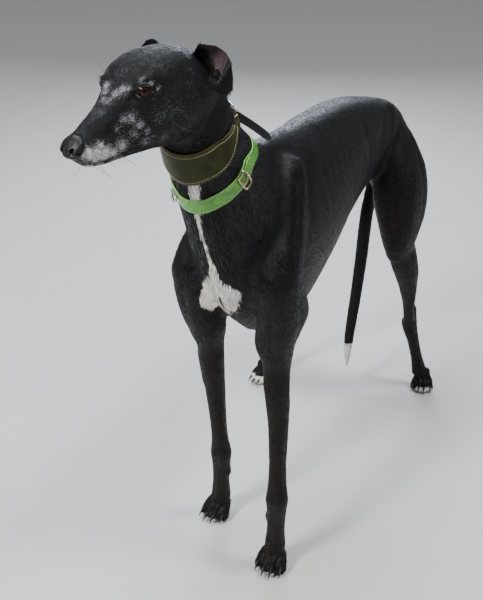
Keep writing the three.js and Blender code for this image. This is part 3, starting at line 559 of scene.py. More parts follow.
def shape_head(skin):
    surface = Surface(skin)
    ears = ear_share(surface.points)
    surface.relax(5)
    surface.relax(45, 1 - ears)
    for eye in EYES.values():
        surface.relax(50, 1 - smooth_step(eye.reach(surface.points), 17, 26))
    surface.shape(both_sides(HEAD_FORMS))
    surface.relax(2)
    head = to_head(surface.points)
    under_pad = UNDER_PAD_MM * MM * smooth_step(head[:, 0], 203, 209) * smooth_step(head[:, 2], -16, -10)
    surface.push_in(SWELL + COAT_DEPTH * (1 - 0.6 * ears) + under_pad)
    shape_lids(surface)
    surface.relax(1)


def foreleg_forms(leg, side):
    """Muscles, sinews and joints of a foreleg: width and height in mm and a path."""
    withers, shoulder, elbow, carpus, foot = (
        leg[part] for part in ("withers", "shoulder", "elbow", "carpus", "foot"))

    def step(spot, out, back, up):
        return body_spot(*leg_step(spot, side, out, back, up))

    def arm(part, out, back):
        return step(between(elbow, carpus, part), out, back, 0)

    blade = [between(withers, shoulder, part) for part in (0.05, 0.35, 0.65, 0.95)]
    fetlock = between(carpus, foot, 0.7)
    forms = [
        # Ridge of the blade, the hollow before it, its rear edge, behind it
        (11, 1.3, [step(spot, 26, -6, 4) for spot in blade]),
        (9, -1.8, [step(spot, 26, -27, -8) for spot in blade[:3]]),
        (13, 1.6, [step(spot, 24, 26, 8) for spot in blade]),
        (11, -1.8, [step(spot, 24, 50, 10) for spot in blade]),
        # Point of the shoulder, upper arm muscle, its two grooves
        (15, 2.5, [step(shoulder, 24, -30, -6)]),
        (24, 3.0, [step(shoulder, 28, 44, -66)]),
        (7, -1.8, [step(shoulder, 34, 6, -30), step(shoulder, 34, 12, -80),
                   step(elbow, 26, -6, 20)]),
        (8, -2.0, [step(shoulder, 6, -42, -40), step(elbow, 4, -30, 30)]),
        # Elbow, forearm muscle, between the sinews
        (8, 2.2, [step(elbow, 4, 26, 6)]),
        (9, 1.6, [step(elbow, 18, -14, -30), step(elbow, 14, -12, -80)]),
        (4.5, -1.2, [step(elbow, 18, 2, -24), arm(0.5, 15, 0), arm(0.88, 13, -2)]),
        (4, -1.0, [arm(0.35, -16, 6), arm(0.9, -13, 6)]),
        (4, 1.0, [arm(0.45, 4, 19), arm(0.92, 2, 17)]),
        # Wrist, its heel, the crease below it
        (7, 1.3, [step(carpus, 8, -15, 2)]),
        (7, 1.3, [step(carpus, -9, -14, 2)]),
        (6, 2.2, [step(carpus, 3, 19, 6)]),
        (5, -1.0, [step(carpus, 0, -18, -12), step(carpus, 0, -18, -20)]),
    ]
    for across in (-7, 0, 7):
        forms.append((2.4, -0.7, [step(carpus, across, -17, -26), step(fetlock, across, -13, 0)]))
    return forms


def hindleg_forms(leg, side):
    """Muscles, sinews and joints of a hind leg: width and height in mm and a path."""
    hip, stifle, hock, foot = (leg[part] for part in ("hip", "stifle", "hock", "foot"))

    def step(spot, out, back, up):
        return body_spot(*leg_step(spot, side, out, back, up))

    def shank(part, out, back):
        return step(between(stifle, hock, part), out, back, 0)

    thigh = [between(hip, stifle, part) for part in (0.0, 0.25, 0.5, 0.75, 1.0)]
    fetlock = between(hock, foot, 0.74)
    forms = [
        # Between the thigh muscles, hamstrings, their rear edge
        (9, -2.8, [step(hip, 20, 6, 14), step(thigh[1], 40, 10, 0), step(thigh[2], 48, 14, 0),
                   step(thigh[3], 42, 18, 0)]),
        (18, 2.2, [step(thigh[1], 34, 44, 0), step(thigh[3], 34, 52, 0)]),
        (8, -1.6, [step(thigh[1], 26, 70, 0), step(thigh[3], 22, 74, 0)]),
        # Front of the thigh, its edge
        (14, 2.0, [step(thigh[1], 30, -34, 0), step(thigh[3], 32, -30, 0)]),
        (7, -1.6, [step(thigh[1], 8, -62, 10), step(thigh[3], 10, -50, 0)]),
        # Kneecap, beside it, calf
        (12, 2.4, [step(stifle, 4, -34, 2)]),
        (8, -1.8, [step(stifle, 26, -6, 8), step(stifle, 24, -2, -30)]),
        (12, 1.8, [step(stifle, 26, 30, -24), shank(0.35, 24, 24)]),
        # Before the heel sinew, on the outside and the inside
        (7, -2.8, [shank(0.5, 17, 20), shank(0.72, 12, 14), shank(0.94, 10, 10)]),
        (7, -2.4, [shank(0.5, -12, 20), shank(0.72, -10, 14), shank(0.94, -9, 10)]),
        # Hock, its point, the groove below it
        (6, 1.4, [step(hock, 12, 2, 2)]),
        (6, 1.4, [step(hock, -12, 2, 2)]),
        (6, 1.8, [step(hock, -3, 26, 22)]),
        (3.5, -0.9, [step(hock, 13, 4, -24), step(between(hock, foot, 0.7), 12, 0, 0)]),
    ]
    for across in (-6, 0, 6):
        forms.append((2.2, -0.6, [step(hock, across, -16, -30), step(fetlock, across, -13, 0)]))
    return forms


def leg_forms():
    forms = []
    for name, side in SIDES.items():
        forms += foreleg_forms(FORELEGS[name], side)
        forms += hindleg_forms(HINDLEGS[name], side)
    return forms


def paw_forms():
    """The grooves between the toes and the knuckles over them."""
    grooves = ((1.1, 40, 8), (1.05, 32, 19), (0.95, 18, 26), (0.8, 4, 32))
    knuckles = ((1.05, 33, 15), (1.0, 26, 21))
    between_toes = [(first + second) / 2 for first, second in zip(TOES_ACROSS[:-1], TOES_ACROSS[1:])]

    def path(leg, side, across, back, places):
        return [body_spot(*paw_spot(leg, side, across * share, ahead - back, up))
                for share, ahead, up in places]

    forms = []
    for legs in (FORELEGS, HINDLEGS):
        for name, side in SIDES.items():
            for across in between_toes:
                forms.append((2.0, -2.4, path(legs[name], side, across, 0, grooves)))
            for across, back in zip(TOES_ACROSS, TOES_SET_BACK):
                forms.append((4.2, 1.7, path(legs[name], side, across, back, knuckles)))
    return forms


# Forms of the trunk's middle line, then of both its sides: width and height in mm and a path
MIDDLE_FORMS = [
    (8, -1.6, [(0, y, 705) for y in (-120, 0, 120, 240, 320)]),  # between the loins
    (12, 2.2, [(0, -318, 470), (0, -300, 450)]),  # breastbone
    (7, 1.2, [(0, -240, 395), (0, -160, 365), (0, -60, 380)]),
]
RIBS, FIRST_RIB_Y, RIB_PITCH, RIB_HEIGHT = 8, -118, 25, 0.65
SIDE_FORMS = [
    (14, -2.6, [(60, 92, 655), (64, 96, 590), (54, 66, 500)]),
    (13, 1.6, [(34, -60, 700), (34, 80, 703), (32, 210, 690)]),
    (11, -1.6, [(58, -20, 680), (60, 120, 678), (58, 200, 668)]),
    (13, 3.4, [(44, 250, 668)]),  # hip bone
    (9, 1.6, [(44, 256, 668), (60, 236, 632), (60, 206, 592), (56, 176, 580)]),  # flank fold
    (12, -2.4, [(62, 186, 640), (62, 160, 610)]),  # hollow of the flank
    (10, 2.0, [(42, 384, 600)]),  # point of the buttock
    (12, -1.8, [(52, 330, 632), (60, 300, 618)]),
    (13, 1.8, [(44, -392, 726), (54, -350, 660), (66, -318, 590)]),
    (8, -2.2, [(26, -420, 716), (34, -384, 640), (40, -350, 560)]),
    (9, -1.4, [(52, -340, 700), (60, -300, 650), (66, -262, 624)]),
    (12, 1.4, [(34, -300, 730), (40, -240, 690)]),  # crest of the neck
]


def trunk_forms():
    """Ribs, loins, hips, belly and neck."""
    starts = [FIRST_RIB_Y + RIB_PITCH * k for k in range(RIBS)]
    ribs = [(6, RIB_HEIGHT, [(74, y, 640), (82, y + 8, 560), (66, y + 30, 470)]) for y in starts]
    rows = [(1, form) for form in MIDDLE_FORMS]
    rows += [(side, form) for side in SIDES.values() for form in ribs + SIDE_FORMS]
    return [(width, height, [body_spot(side * x, y, z) for x, y, z in path])
            for side, (width, height, path) in rows]


# The flat of the shoulder blade, smoothed the most
DIP_AT_MM, DIP_SIZE_MM = (62, 225, 600), (45, 75, 85)
OFF_FLOOR = 0.0003


def shape_body(skin):
    surface = Surface(skin)
    body = to_body(surface.points)
    height = body[:, 2]
    off_paws = smooth_step(height, 42, 80)
    in_tail = smooth_step(body[:, 1], 345, 372) * (1 - smooth_step(height, 560, 590))
    in_tail *= np.abs(body[:, 0] + 25) < 32
    trunk = smooth_step(height, 385, 450) * (1 - in_tail)
    surface.relax(5)
    surface.relax(20, off_paws)
    surface.relax(50, trunk)
    in_dip = (np.abs(body) - np.array(DIP_AT_MM)) / DIP_SIZE_MM
    dip = np.maximum(0, 1 - np.linalg.norm(in_dip, axis=1))
    surface.relax(110, smooth_step(dip, 0, 0.6) * (body[:, 1] < 0))
    surface.shape(leg_forms() + paw_forms() + trunk_forms())
    surface.relax(3, off_paws)
    surface.push_in(SWELL + COAT_DEPTH * (0.4 + 0.6 * off_paws))
    surface.points[:, 2] = np.maximum(surface.points[:, 2], OFF_FLOOR)
    surface.refresh()


# The coat: where it is white, grey, brown or thin, where light and shade are painted on it, and which way it
# lies

# White marks: tapered capsules on the surface, in mm from the dog's middle line: start, end, radii
WHITE_MARKS = [
    ((12, -420, 690), (8, -408, 668), 8.5, 8.0), ((8, -408, 668), (4, -398, 646), 8.0, 6.5),
    ((4, -398, 646), (1, -385, 618), 4.4, 2.6), ((1, -385, 618), (-1, -367, 581), 3.0, 2.2),
    ((-1, -367, 581), (-1, -357, 559), 2.2, 2.8), ((-1, -357, 559), (2, -350, 542), 2.8, 5.0),
    ((2, -350, 542), (-3, -336, 518), 4.5, 11), ((-3, -336, 518), (-24, -314, 486), 11, 19),
    ((-3, -336, 518), (14, -320, 490), 11, 17), ((-24, -314, 486), (-40, -294, 456), 18, 11),
    ((14, -320, 490), (6, -304, 464), 15, 10), ((-24, -305, 470), (-6, -300, 458), 14, 10),
    ((-36, -284, 446), (-12, -288, 448), 9, 9),
]
TAIL_TIP_Z = 124
# Tan where the white chest's two lobes fold together: partly the skin's own tan, partly painted shade of the
# fold
CHEST_FOLD_TAN_AND_SHADE = ((-10, -318, 480), (-14, -296, 452), 11, 13)
FOLD_TAN_AND_SHADE_AMOUNT = 0.75

BACK_LIE = (0, 1, -0.05)     # the lie of the hair along the back

# Grey hairs on the head: [forward, left, up] in mm, how far they spread, how many there are
GREY_HAIRS = [
    ((205, 16, -7), 11, 1.15), ((196, 18, -11), 13, 1.25), ((185, 20, -14), 13, 1.15),
    ((174, 22, -17), 11, 0.95),
    ((188, 20, -3), 9, 0.8), ((200, 9, -27), 10, 1.1), ((188, 11, -32), 12, 0.95), ((168, 15, -34), 14, 0.7),
    ((162, 25, -14), 14, 0.75),
    ((152, 25, 14), 9, 0.5), ((144, 30, 12), 9, 0.6), ((137, 33, 3), 9, 0.6), ((130, 36, -8), 9, 0.5),
    ((146, 31, -6), 13, 0.5), ((160, 22, 6), 9, 0.35), ((122, 37, -18), 9, 0.45), ((118, 28, 47), 5, 0.6),
    ((112, 37, 43), 5, 0.75), ((107, 40, 36), 4, 0.5), ((134, 13, 40), 9, 0.6), ((142, 8, 38), 9, 0.55),
    ((152, 4, 33), 9, 0.45), ((130, 18, 40), 6, 0.5), ((118, 0, 52), 14, 0.22), ((168, 6, 26), 12, 0.28),
    ((104, 26, -46), 14, 0.4), ((84, 30, -50), 14, 0.35), ((60, 24, -58), 16, 0.3),
    ((120, 22, -42), 10, 0.45),
    ((96, 46, 6), 26, 0.30), ((74, 50, -14), 24, 0.28), ((110, 40, 4), 18, 0.36), ((86, 20, 62), 30, 0.20),
    ((104, 37, -24), 18, 0.40), ((130, 30, -20), 14, 0.55), ((60, 50, 20), 24, 0.2),
]


def capsule_reach(spots, start, end, first, last):
    """How far places lie outside a tapered capsule, in mm."""
    start, end = np.array(start, float), np.array(end, float)
    along = end - start
    part = np.clip((spots - start) @ along / max(along @ along, 1e-9), 0, 1)
    return np.linalg.norm(spots - start - part[:, None] * along, axis=1) - (first + (last - first) * part)


def white_reach(points):
    """How far places lie outside the white marks, in mm, below zero inside them."""
    body = to_body(points)
    reach = np.full(len(points), 60.0)
    for start, end, first, last in WHITE_MARKS:
        reach = np.minimum(reach, capsule_reach(body, start, end, first, last))
    tail = (body[:, 1] > 250) & (np.abs(body[:, 0] + 29) < 26) & (body[:, 2] < 260)
    reach = np.where(tail, np.minimum(reach, body[:, 2] - TAIL_TIP_Z), reach)
    toes = [(HINDLEGS["right"], -1, (0, 1, 2, 3), 15), (HINDLEGS["left"], 1, (1, 2, 3), 9),
            (FORELEGS["right"], -1, (1, 2), 5.5), (FORELEGS["left"], 1, (0, 1, 2), 5)]
    for leg, side, which, radius in toes:
        for toe in which:
            ahead = 38 - TOES_SET_BACK[toe]
            end = paw_spot(leg, side, TOES_ACROSS[toe] * 1.12, ahead, 7)
            reach = np.minimum(reach, np.linalg.norm(body - np.array(end), axis=1) - radius)
    return reach


# Places along the line of the mouth, [forward, left, up] in mm
LIP_LINE = [(207, 8, -19), (200, 10, -22), (193, 11.5, -25), (182, 14, -26), (171, 16, -27),
            (163, 18, -26.5), (155, 20.5, -26), (145, 23.5, -25), (135, 27, -24)]


def head_share(head, low, high, below, above):
    """1 on the head, fading to 0 over the given reaches behind it and under it."""
    return smooth_step(head[:, 0], low, high) * smooth_step(head[:, 2], below, above)


def grey_and_glint_share(mirrored, on_head, body):
    """How many hairs are grey: in patches on the face, few on the shoulder, where the grey is partly painted
    glints of light.
    """
    grey_and_glint = np.zeros(len(body))
    for spot, spread, amount in GREY_HAIRS:
        reach = np.linalg.norm(mirrored - np.array(spot, float), axis=1)
        grey_and_glint = np.maximum(grey_and_glint, amount * np.exp(-((reach / (0.85 * spread)) ** 2)))
    grey_and_glint = np.clip(grey_and_glint, 0, 0.97) * on_head
    _, y, z = body.T
    # Grey flecks on the shoulder: partly grey hairs, partly painted glints
    shoulder = np.exp(-(((y + 250) / 90) ** 2) - ((z - 500) / 110) ** 2)
    return np.maximum(grey_and_glint, 0.035 * shoulder)


def brown_share(head, on_head, body):
    """How brown the black is: most on the thighs, some on the forelegs, jaw and belly."""
    _, y, z = body.T
    thigh = smooth_step(y, 150, 230) * smooth_step(z, 330, 420) * (1 - smooth_step(z, 560, 640))
    brown = 0.85 * thigh + 0.45 * smooth_step(-y, 120, 200) * (1 - smooth_step(z, 330, 430))
    brown += 0.35 * on_head * smooth_step(-head[:, 2], -30, 10) + 0.3 * (1 - smooth_step(z, 430, 600))
    return np.clip(brown, 0, 1)


def bare_share(body, normals):
    """Where the coat is thin: inside the thighs and on the belly."""
    x, y, z = body.T
    inner = np.where(x > -10, -normals[:, 0], normals[:, 0]) * np.sign(np.abs(x) + 1)
    thigh = smooth_step(y, 150, 200) * smooth_step(z, 400, 450) * (1 - smooth_step(z, 520, 560))
    belly = smooth_step(y, -20, 60) * smooth_step(-normals[:, 2], 0.6, 0.95) * (z > 420)
    return np.clip(thigh * smooth_step(inner, 0.3, 0.8) + 0.8 * belly, 0, 1)


def black_rims(points, normals, mirrored, on_head, z):
    """The bare black skin: lids, inner corners of the eyes, lips and the pads of the paws."""
    rims = np.zeros(len(points))
    for eye in EYES.values():
        across, high, out = eye.local(points)
        near = (eye.reach(points) < 20) & (out > 0)
        rims = np.maximum(rims, near * (1 - smooth_step(eye.from_rim(points), 1.6, 3.4)))
        corner = near * np.exp(-(((across - 12.5) / 3.2) ** 2) - ((high + 1.5) / 2.2) ** 2)
        rims = np.maximum(rims, corner)
    away = [np.linalg.norm(mirrored - np.array(spot, float), axis=1) for spot in LIP_LINE]
    lips = on_head * (1 - smooth_step(np.min(away, axis=0), 1.8, 4.5)) * 0.9
    pads = (1 - smooth_step(z, 5, 11)) * smooth_step(-normals[:, 2], 0.2, 0.6)
    return np.maximum(np.maximum(rims, lips), pads)


def coat_facts(points, normals):
    """For each place how white, grey, brown, thinly coated, pink and black-rimmed it is, with painted glints
    among the grey on the shoulder, painted shade in the pink of the right ear and tan with painted shade in
    the chest's fold.
    """
    body, head = to_body(points), to_head(points)
    mirrored = head * [1, 0, 1] + np.abs(head) * [0, 1, 0]
    on_head = head_share(head, -30, 10, -78, -60)
    return {
        "white": white_reach(points),
        "grey_and_glint": grey_and_glint_share(mirrored, on_head, body),
        "brown": brown_share(head, on_head, body),
        "bare": bare_share(body, normals),
        "ear_pink_and_shade": np.maximum(ear_inside(points, normals), 0),
        "rim": black_rims(points, normals, mirrored, on_head, body[:, 2]),
        "fold_tan_and_shade": FOLD_TAN_AND_SHADE_AMOUNT * (capsule_reach(body, *CHEST_FOLD_TAN_AND_SHADE) < 0),
    }


def ear_inside(points, normals):
    """1 on the inner side of the left ear's cup, 0.35 on the right ear's, its lower pink being painted
    shade; 0 elsewhere.
    """
    head = to_head(points)
    side = np.where(head[:, 1] > 0, 1.0, -1.0)
    ways = normals @ HEAD_AXES
    forward, left, up = -ways[:, 1], ways[:, 0] * side, ways[:, 2]
    out = np.abs(head[:, 1])
    cup = smooth_step(out, 33, 38) * (1 - smooth_step(out, 60, 64)) * smooth_step(head[:, 2], 10, 18)
    facing = forward * 0.85 + left * 0.4 - up * 0.1
    cup *= (1 - smooth_step(head[:, 0], 26, 32)) * smooth_step(facing, 0.25, 0.6)
    past_skull = np.hypot(out / 47, np.maximum(head[:, 2], 0) / 55)
    # The right ear's inside is painted darker, as shade
    return cup * smooth_step(past_skull, 1.0, 1.06) * np.where(head[:, 1] > 0, 1.0, 0.35)


def coat_lie(points, normals):
    """The way the hair lies at each place, along the surface."""
    body, head = to_body(points), to_head(points)
    x, y, z = body.T
    cheek = smooth_step(-head[:, 2], -20, 30)[:, None]
    top_of_head, side_of_head = head_way(-1, 0, -0.05), head_way(-1, 0, -0.35)
    flap = smooth_step(np.abs(head[:, 1]), 54, 60) * smooth_step(-head[:, 0], -40, -34)
    flap *= smooth_step(head[:, 2], -12, -4) * (1 - smooth_step(head[:, 2], 40, 50))
    layers = [
        # Flanks, shoulders, chest, neck, haunches
        (smooth_step(-(z - 640), 0, 160), (0, 0.85, -0.55)),
        (smooth_step(-y, 130, 230), (0, 0.45, -0.9)),
        (smooth_step(-y, 290, 330) * (1 - smooth_step(np.abs(x), 15, 45)), (0, 0.15, -1)),
        (smooth_step(-y, 270, 330) * smooth_step(z, 600, 660), (0, 0.5, -0.86)),
        (smooth_step(y, 170, 240) * (1 - smooth_step(z, 590, 660)), (0, 0.45, -0.9)),
        # Legs, paws, tail, head, flaps of the ears
        (1 - smooth_step(z, 360, 440), (0, 0.12, -1)),
        (1 - smooth_step(z, 30, 60), (0, -0.75, -0.65)),
        (smooth_step(y, 340, 365) * (np.abs(x + 22) < 34) * (1 - smooth_step(z, 600, 640)),
         (0, -0.2, -1)),
        (head_share(head, -10, 25, -75, -62), top_of_head + (side_of_head - top_of_head) * cheek),
        (flap, head_way(0.15, 0, -1)),
    ]
    lie = np.tile(BACK_LIE, (len(points), 1))
    for share, way in layers:
        lie = lie + (np.asarray(way, float) - lie) * share[:, None]
    lie = lie - normals * (lie * normals).sum(1)[:, None]
    return unit(lie)


def mark_coat(mesh, facts, tint, lie):
    for name, values in facts.items():
        add_number(mesh, name, values)
    add_number(mesh, "tint", tint)
    add_way(mesh, "lie", lie)


def mark_skin(skin, chance):
    points, normals = read_points(skin.data), read_normals(skin.data)
    mark_coat(skin.data, coat_facts(points, normals), chance.random(len(points)), coat_lie(points, normals))


# Tufts

BODY_TUFT_MM = 10.5


def tuft_sizes(points, normals):
    """Length and width of the tufts in mm and how much they stand up, at each place."""
    body, head = to_body(points), to_head(points)
    x, y, z = body.T
    length = np.where(z < 60, 4.2, np.where(z < 400, 8.5, BODY_TUFT_MM))
    neck = smooth_step(-y, 280, 330) * smooth_step(z, 560, 600)
    length += 2.0 * neck
    breech = smooth_step(normals[:, 1], 0.2, 0.7) * (y > 180) * smooth_step(z, 380, 440) * (z < 620)
    length += 7.0 * breech
    throat = smooth_step(-normals[:, 1], 0.5, 0.9) * (y < -280) * (np.abs(x) < 30) * (z > 440)
    length += 4.0 * throat
    keel = smooth_step(-normals[:, 2], 0.5, 0.9) * (z > 340) * (z < 560)
    length += 3.0 * keel
    tail = (y > 340) * (z < 560) * (np.abs(x + 22) < 36)
    length = np.where(tail, 14.0, length)
    on_head = smooth_step(head[:, 0], -12, 12) * (head[:, 2] > -72)
    face = 3.4 + 2.8 * (1 - smooth_step(head[:, 0], 60, 150))
    length = length + (face - length) * on_head
    width = 0.55 + 0.055 * length - 0.1 * on_head
    stand = 0.018 + 0.10 * breech + 0.07 * throat + 0.05 * keel + 0.03 * tail
    return length, width, stand * (1 - 0.4 * on_head)


class Roots:
    """Random places on a skin, thicker where the tufts are smaller."""

    def __init__(self, skin, count, chance, allowed):
        mesh = skin.data
        mesh.calc_loop_triangles()
        corners = np.zeros(len(mesh.loop_triangles) * 3, int)
        mesh.loop_triangles.foreach_get("vertices", corners)
        corners = corners.reshape(-1, 3)
        points, normals = read_points(mesh), read_normals(mesh)
        a, b, c = (points[corners[:, k]] for k in range(3))
        area = np.linalg.norm(np.cross(b - a, c - a), axis=1)
        middle, way = (a + b + c) / 3, unit(normals[corners].mean(1))
        length, width, _ = tuft_sizes(middle, way)
        weight = area / (length * width) * allowed(middle, way)
        picked = chance.choice(len(corners), count, p=weight / weight.sum())
        u, v = chance.random(count), chance.random(count)
        over = u + v > 1
        u = np.where(over, 1 - u, u)[:, None]
        v = np.where(over, 1 - v, v)[:, None]
        self.spots = a[picked] * (1 - u - v) + b[picked] * u + c[picked] * v
        na, nb, nc = (normals[corners[picked, k]] for k in range(3))
        self.normals = unit(na * (1 - u - v) + nb * u + nc * v)


TUFT_SWING = 0.13        # how far tufts turn off the lie
TUFT_SUNK = 0.0002       # how deep their roots go into the skin
# Each tuft has three corners at its root, three at its middle and one at its tip
TUFT_FACES = [(0, 2, 1), (0, 1, 4), (0, 4, 3), (1, 2, 5), (1, 5, 4), (2, 0, 3), (2, 3, 5),
              (3, 4, 6), (4, 5, 6), (5, 3, 6)]
TUFT_ON_PATCH = [(0.0, 0.0), (1.0, 0.0), (0.5, 0.1), (0.0, 0.6), (1.0, 0.6), (0.5, 0.6), (0.5, 1.0)]


def grow_tufts(name, skin, count, chance, patches, allowed):
    """Thin solid tufts that overlap along the lie of the coat."""
    roots = Roots(skin, count, chance, allowed)
    spots, normals = roots.spots, roots.normals
    length, width, stand = tuft_sizes(spots, normals)
    length = length * MM * (0.75 + 0.5 * chance.random(count))
    width = width * MM * (0.8 + 0.4 * chance.random(count))
    lie = coat_lie(spots, normals)
    across = np.cross(normals, lie)
    swing = TUFT_SWING * chance.standard_normal(count)
    lie = unit(lie + across * swing[:, None])
    across = unit(np.cross(normals, lie))
    rise = (stand * (0.6 + 0.8 * chance.random(count)))[:, None]
    high = (0.08 * width + 0.00005)[:, None]
    half, reach = (width / 2)[:, None], length[:, None]
    sunk = spots - normals * TUFT_SUNK
    middle = spots + lie * reach * 0.5 + normals * (rise * reach * 0.45)
    tip = spots + lie * reach + normals * (rise * reach * 0.55 - TUFT_SUNK)
    root = across * half * 0.7
    points = np.stack([sunk - root, sunk + root, sunk + normals * (high + TUFT_SUNK),
                       middle - across * half, middle + across * half, middle + normals * high,
                       tip], axis=1)
    corners = points.shape[1]
    pattern = np.array(TUFT_FACES)
    faces = (pattern[None] + corners * np.arange(count)[:, None, None]).reshape(-1, 3)
    mesh = bpy.data.meshes.new(name)
    mesh.vertices.add(count * corners)
    mesh.vertices.foreach_set("co", points.ravel())
    mesh.loops.add(len(faces) * 3)
    mesh.loops.foreach_set("vertex_index", faces.ravel())
    mesh.polygons.add(len(faces))
    mesh.polygons.foreach_set("loop_start", np.arange(len(faces)) * 3)
    mesh.update(calc_edges=True)
    coat = new_object(name, mesh)
    facts = {key: np.repeat(values, corners) for key, values in coat_facts(spots, normals).items()}
    tint = np.repeat(chance.random(count), corners)
    mark_coat(mesh, facts, tint, np.repeat(lie, corners, axis=0))
    patch_map(mesh, spots, patches)
    shade_smooth(coat)
    return coat


# An unwrap of the skin's own shape, where each tuft finds its patch

PATCH = 0.003


class Unwrap:
    """A sparse copy of a skin, unwrapped, to look up the place of any spot on the map."""

    def __init__(self, skin):
        select_only(skin)
        bpy.ops.object.duplicate()
        copy = bpy.context.object
        sparser(copy, UNWRAP_LIMIT)
        copy.modifiers.new("triangles", "TRIANGULATE")
        apply_modifiers(copy)
        bpy.ops.object.mode_set(mode="EDIT")
        bpy.ops.mesh.select_all(action="SELECT")
        bpy.ops.uv.smart_project(angle_limit=math.radians(66), island_margin=0.004)
        bpy.ops.object.mode_set(mode="OBJECT")
        mesh = copy.data
        self.corners = np.zeros(len(mesh.loops), int)
        mesh.loops.foreach_get("vertex_index", self.corners)
        flat = np.zeros(len(mesh.loops) * 2)
        mesh.uv_layers.active.data.foreach_get("uv", flat)
        self.flat = flat.reshape(-1, 3, 2)
        self.corners = self.corners.reshape(-1, 3)
        self.points = read_points(mesh)
        self.tree = BVHTree.FromPolygons(self.points.tolist(), self.corners.tolist())
        bpy.data.objects.remove(copy)

    def places(self, spots):
        """The place on the map of each spot of the skin."""
        found = np.array([self.tree.find_nearest(Vector(spot))[2] for spot in spots])
        a, b, c = (self.points[self.corners[found, k]] for k in range(3))
        v0, v1, v2 = b - a, c - a, spots - a
        d00, d01, d11 = (v0 * v0).sum(1), (v0 * v1).sum(1), (v1 * v1).sum(1)
        d20, d21 = (v2 * v0).sum(1), (v2 * v1).sum(1)
        size = np.maximum(d00 * d11 - d01 * d01, 1e-18)
        v = np.clip((d11 * d20 - d01 * d21) / size, 0, 1)
        w = np.clip((d00 * d21 - d01 * d20) / size, 0, 1)
        total = np.maximum(v + w, 1)
        v, w = v / total, w / total
        flat = self.flat[found]
        return flat[:, 0] * (1 - v - w)[:, None] + flat[:, 1] * v[:, None] + flat[:, 2] * w[:, None]


def patch_map(mesh, spots, patches):
    """Each tuft as a small patch of the map at its root."""
    corner = np.array(TUFT_ON_PATCH) - 0.5
    place = np.clip(patches.places(spots), PATCH, 1 - PATCH)
    flat = place[:, None, None, :] + PATCH * corner[np.array(TUFT_FACES)][None]
    layer = mesh.uv_layers.new(name="OFBake")
    layer.data.foreach_set("uv", flat.ravel())


# Materials

class Recipe:
    """A material and short names for making its nodes."""

    def __init__(self, name, roughness, **sockets):
        self.material = bpy.data.materials.new(name)
        self.material.use_nodes = True
        self.tree = self.material.node_tree
        self.shader = self.tree.nodes["Principled BSDF"]
        self.shader.inputs["Roughness"].default_value = roughness
        for socket, value in sockets.items():
            self.shader.inputs[socket.replace("_", " ")].default_value = value
        self.place = self.tree.nodes.new("ShaderNodeTexCoord").outputs["Object"]

    def feed(self, socket, value):
        if isinstance(value, bpy.types.NodeSocket):
            self.tree.links.new(value, socket)
        else:
            socket.default_value = value

    def attribute(self, name, kind):
        node = self.tree.nodes.new("ShaderNodeAttribute")
        node.attribute_name = name
        return node.outputs[kind]

    def number(self, name):
        return self.attribute(name, "Fac")

    def math(self, operation, first, second=0.0):
        node = self.tree.nodes.new("ShaderNodeMath")
        node.operation = operation
        self.feed(node.inputs[0], first)
        self.feed(node.inputs[1], second)
        return node.outputs[0]

    def plus(self, first, second):
        return self.math("ADD", first, second)

    def minus(self, first, second):
        return self.math("SUBTRACT", first, second)

    def times(self, first, second):
        return self.math("MULTIPLY", first, second)

    def step(self, value, low, high, start=0.0, end=1.0):
        node = self.tree.nodes.new("ShaderNodeMapRange")
        node.interpolation_type = "SMOOTHSTEP"
        for socket, number in zip(node.inputs, (value, low, high, start, end)):
            self.feed(socket, number)
        return node.outputs[0]

    def noise(self, sizes, turn=0.0, detail=2.0, rough=0.55):
        """Noise whose grains have the given sizes in metres, turned about the sideways axis."""
        mapping = self.tree.nodes.new("ShaderNodeMapping")
        mapping.vector_type = "TEXTURE"
        mapping.inputs["Scale"].default_value = sizes
        mapping.inputs["Rotation"].default_value = (turn, 0, 0)
        self.feed(mapping.inputs["Vector"], self.place)
        node = self.tree.nodes.new("ShaderNodeTexNoise")
        node.inputs["Scale"].default_value = 1.0
        node.inputs["Detail"].default_value = detail
        node.inputs["Roughness"].default_value = rough
        self.feed(node.inputs["Vector"], mapping.outputs[0])
        return node.outputs[0]

    def grain(self, size, detail=2.0):
        return self.noise((size, size, size), detail=detail)

    def cells(self, size):
        node = self.tree.nodes.new("ShaderNodeTexVoronoi")
        node.inputs["Scale"].default_value = 1 / size
        self.feed(node.inputs["Vector"], self.place)
        return node.outputs["Distance"]

    def blend(self, share, first, second):
        node = self.tree.nodes.new("ShaderNodeMix")
        node.data_type = "RGBA"
        self.feed(node.inputs[0], share)
        for socket, colour in ((node.inputs[6], first), (node.inputs[7], second)):
            self.feed(socket, (*colour, 1) if isinstance(colour, tuple) else colour)
        return node.outputs[2]

    def colour(self, value):
        self.feed(self.shader.inputs["Base Color"], value)

    def roughness(self, value):
        self.feed(self.shader.inputs["Roughness"], value)

    def bump(self, height, distance, strength=1.0):
        node = self.tree.nodes.new("ShaderNodeBump")
        node.inputs["Distance"].default_value = distance
        node.inputs["Strength"].default_value = strength
        self.feed(node.inputs["Height"], height)
        self.feed(self.shader.inputs["Normal"], node.outputs[0])


BLACK_HAIR = (0.0034, 0.0035, 0.0044)
BLACK_HAIR_WORN = (0.0062, 0.0061, 0.0067)
BROWN_HAIR = (0.0112, 0.0070, 0.0047)
GREY_HAIR_AND_GLINT = (0.30, 0.31, 0.33)
SILVER_HAIR = (0.66, 0.67, 0.70)
WHITE_HAIR = (0.86, 0.81, 0.77)
# Colour of the chest's fold: partly tan skin, partly painted shade
TAN_AND_FOLD_SHADE = (0.42, 0.30, 0.23)
BARE_SKIN = (0.055, 0.032, 0.024)
EAR_SKIN = (0.088, 0.058, 0.062)
BLACK_SKIN = (0.0055, 0.0053, 0.006)
STRAND = (0.0010, 0.0085, 0.0010)
LIE_TURNS = (0.0, -0.785, -1.5708)


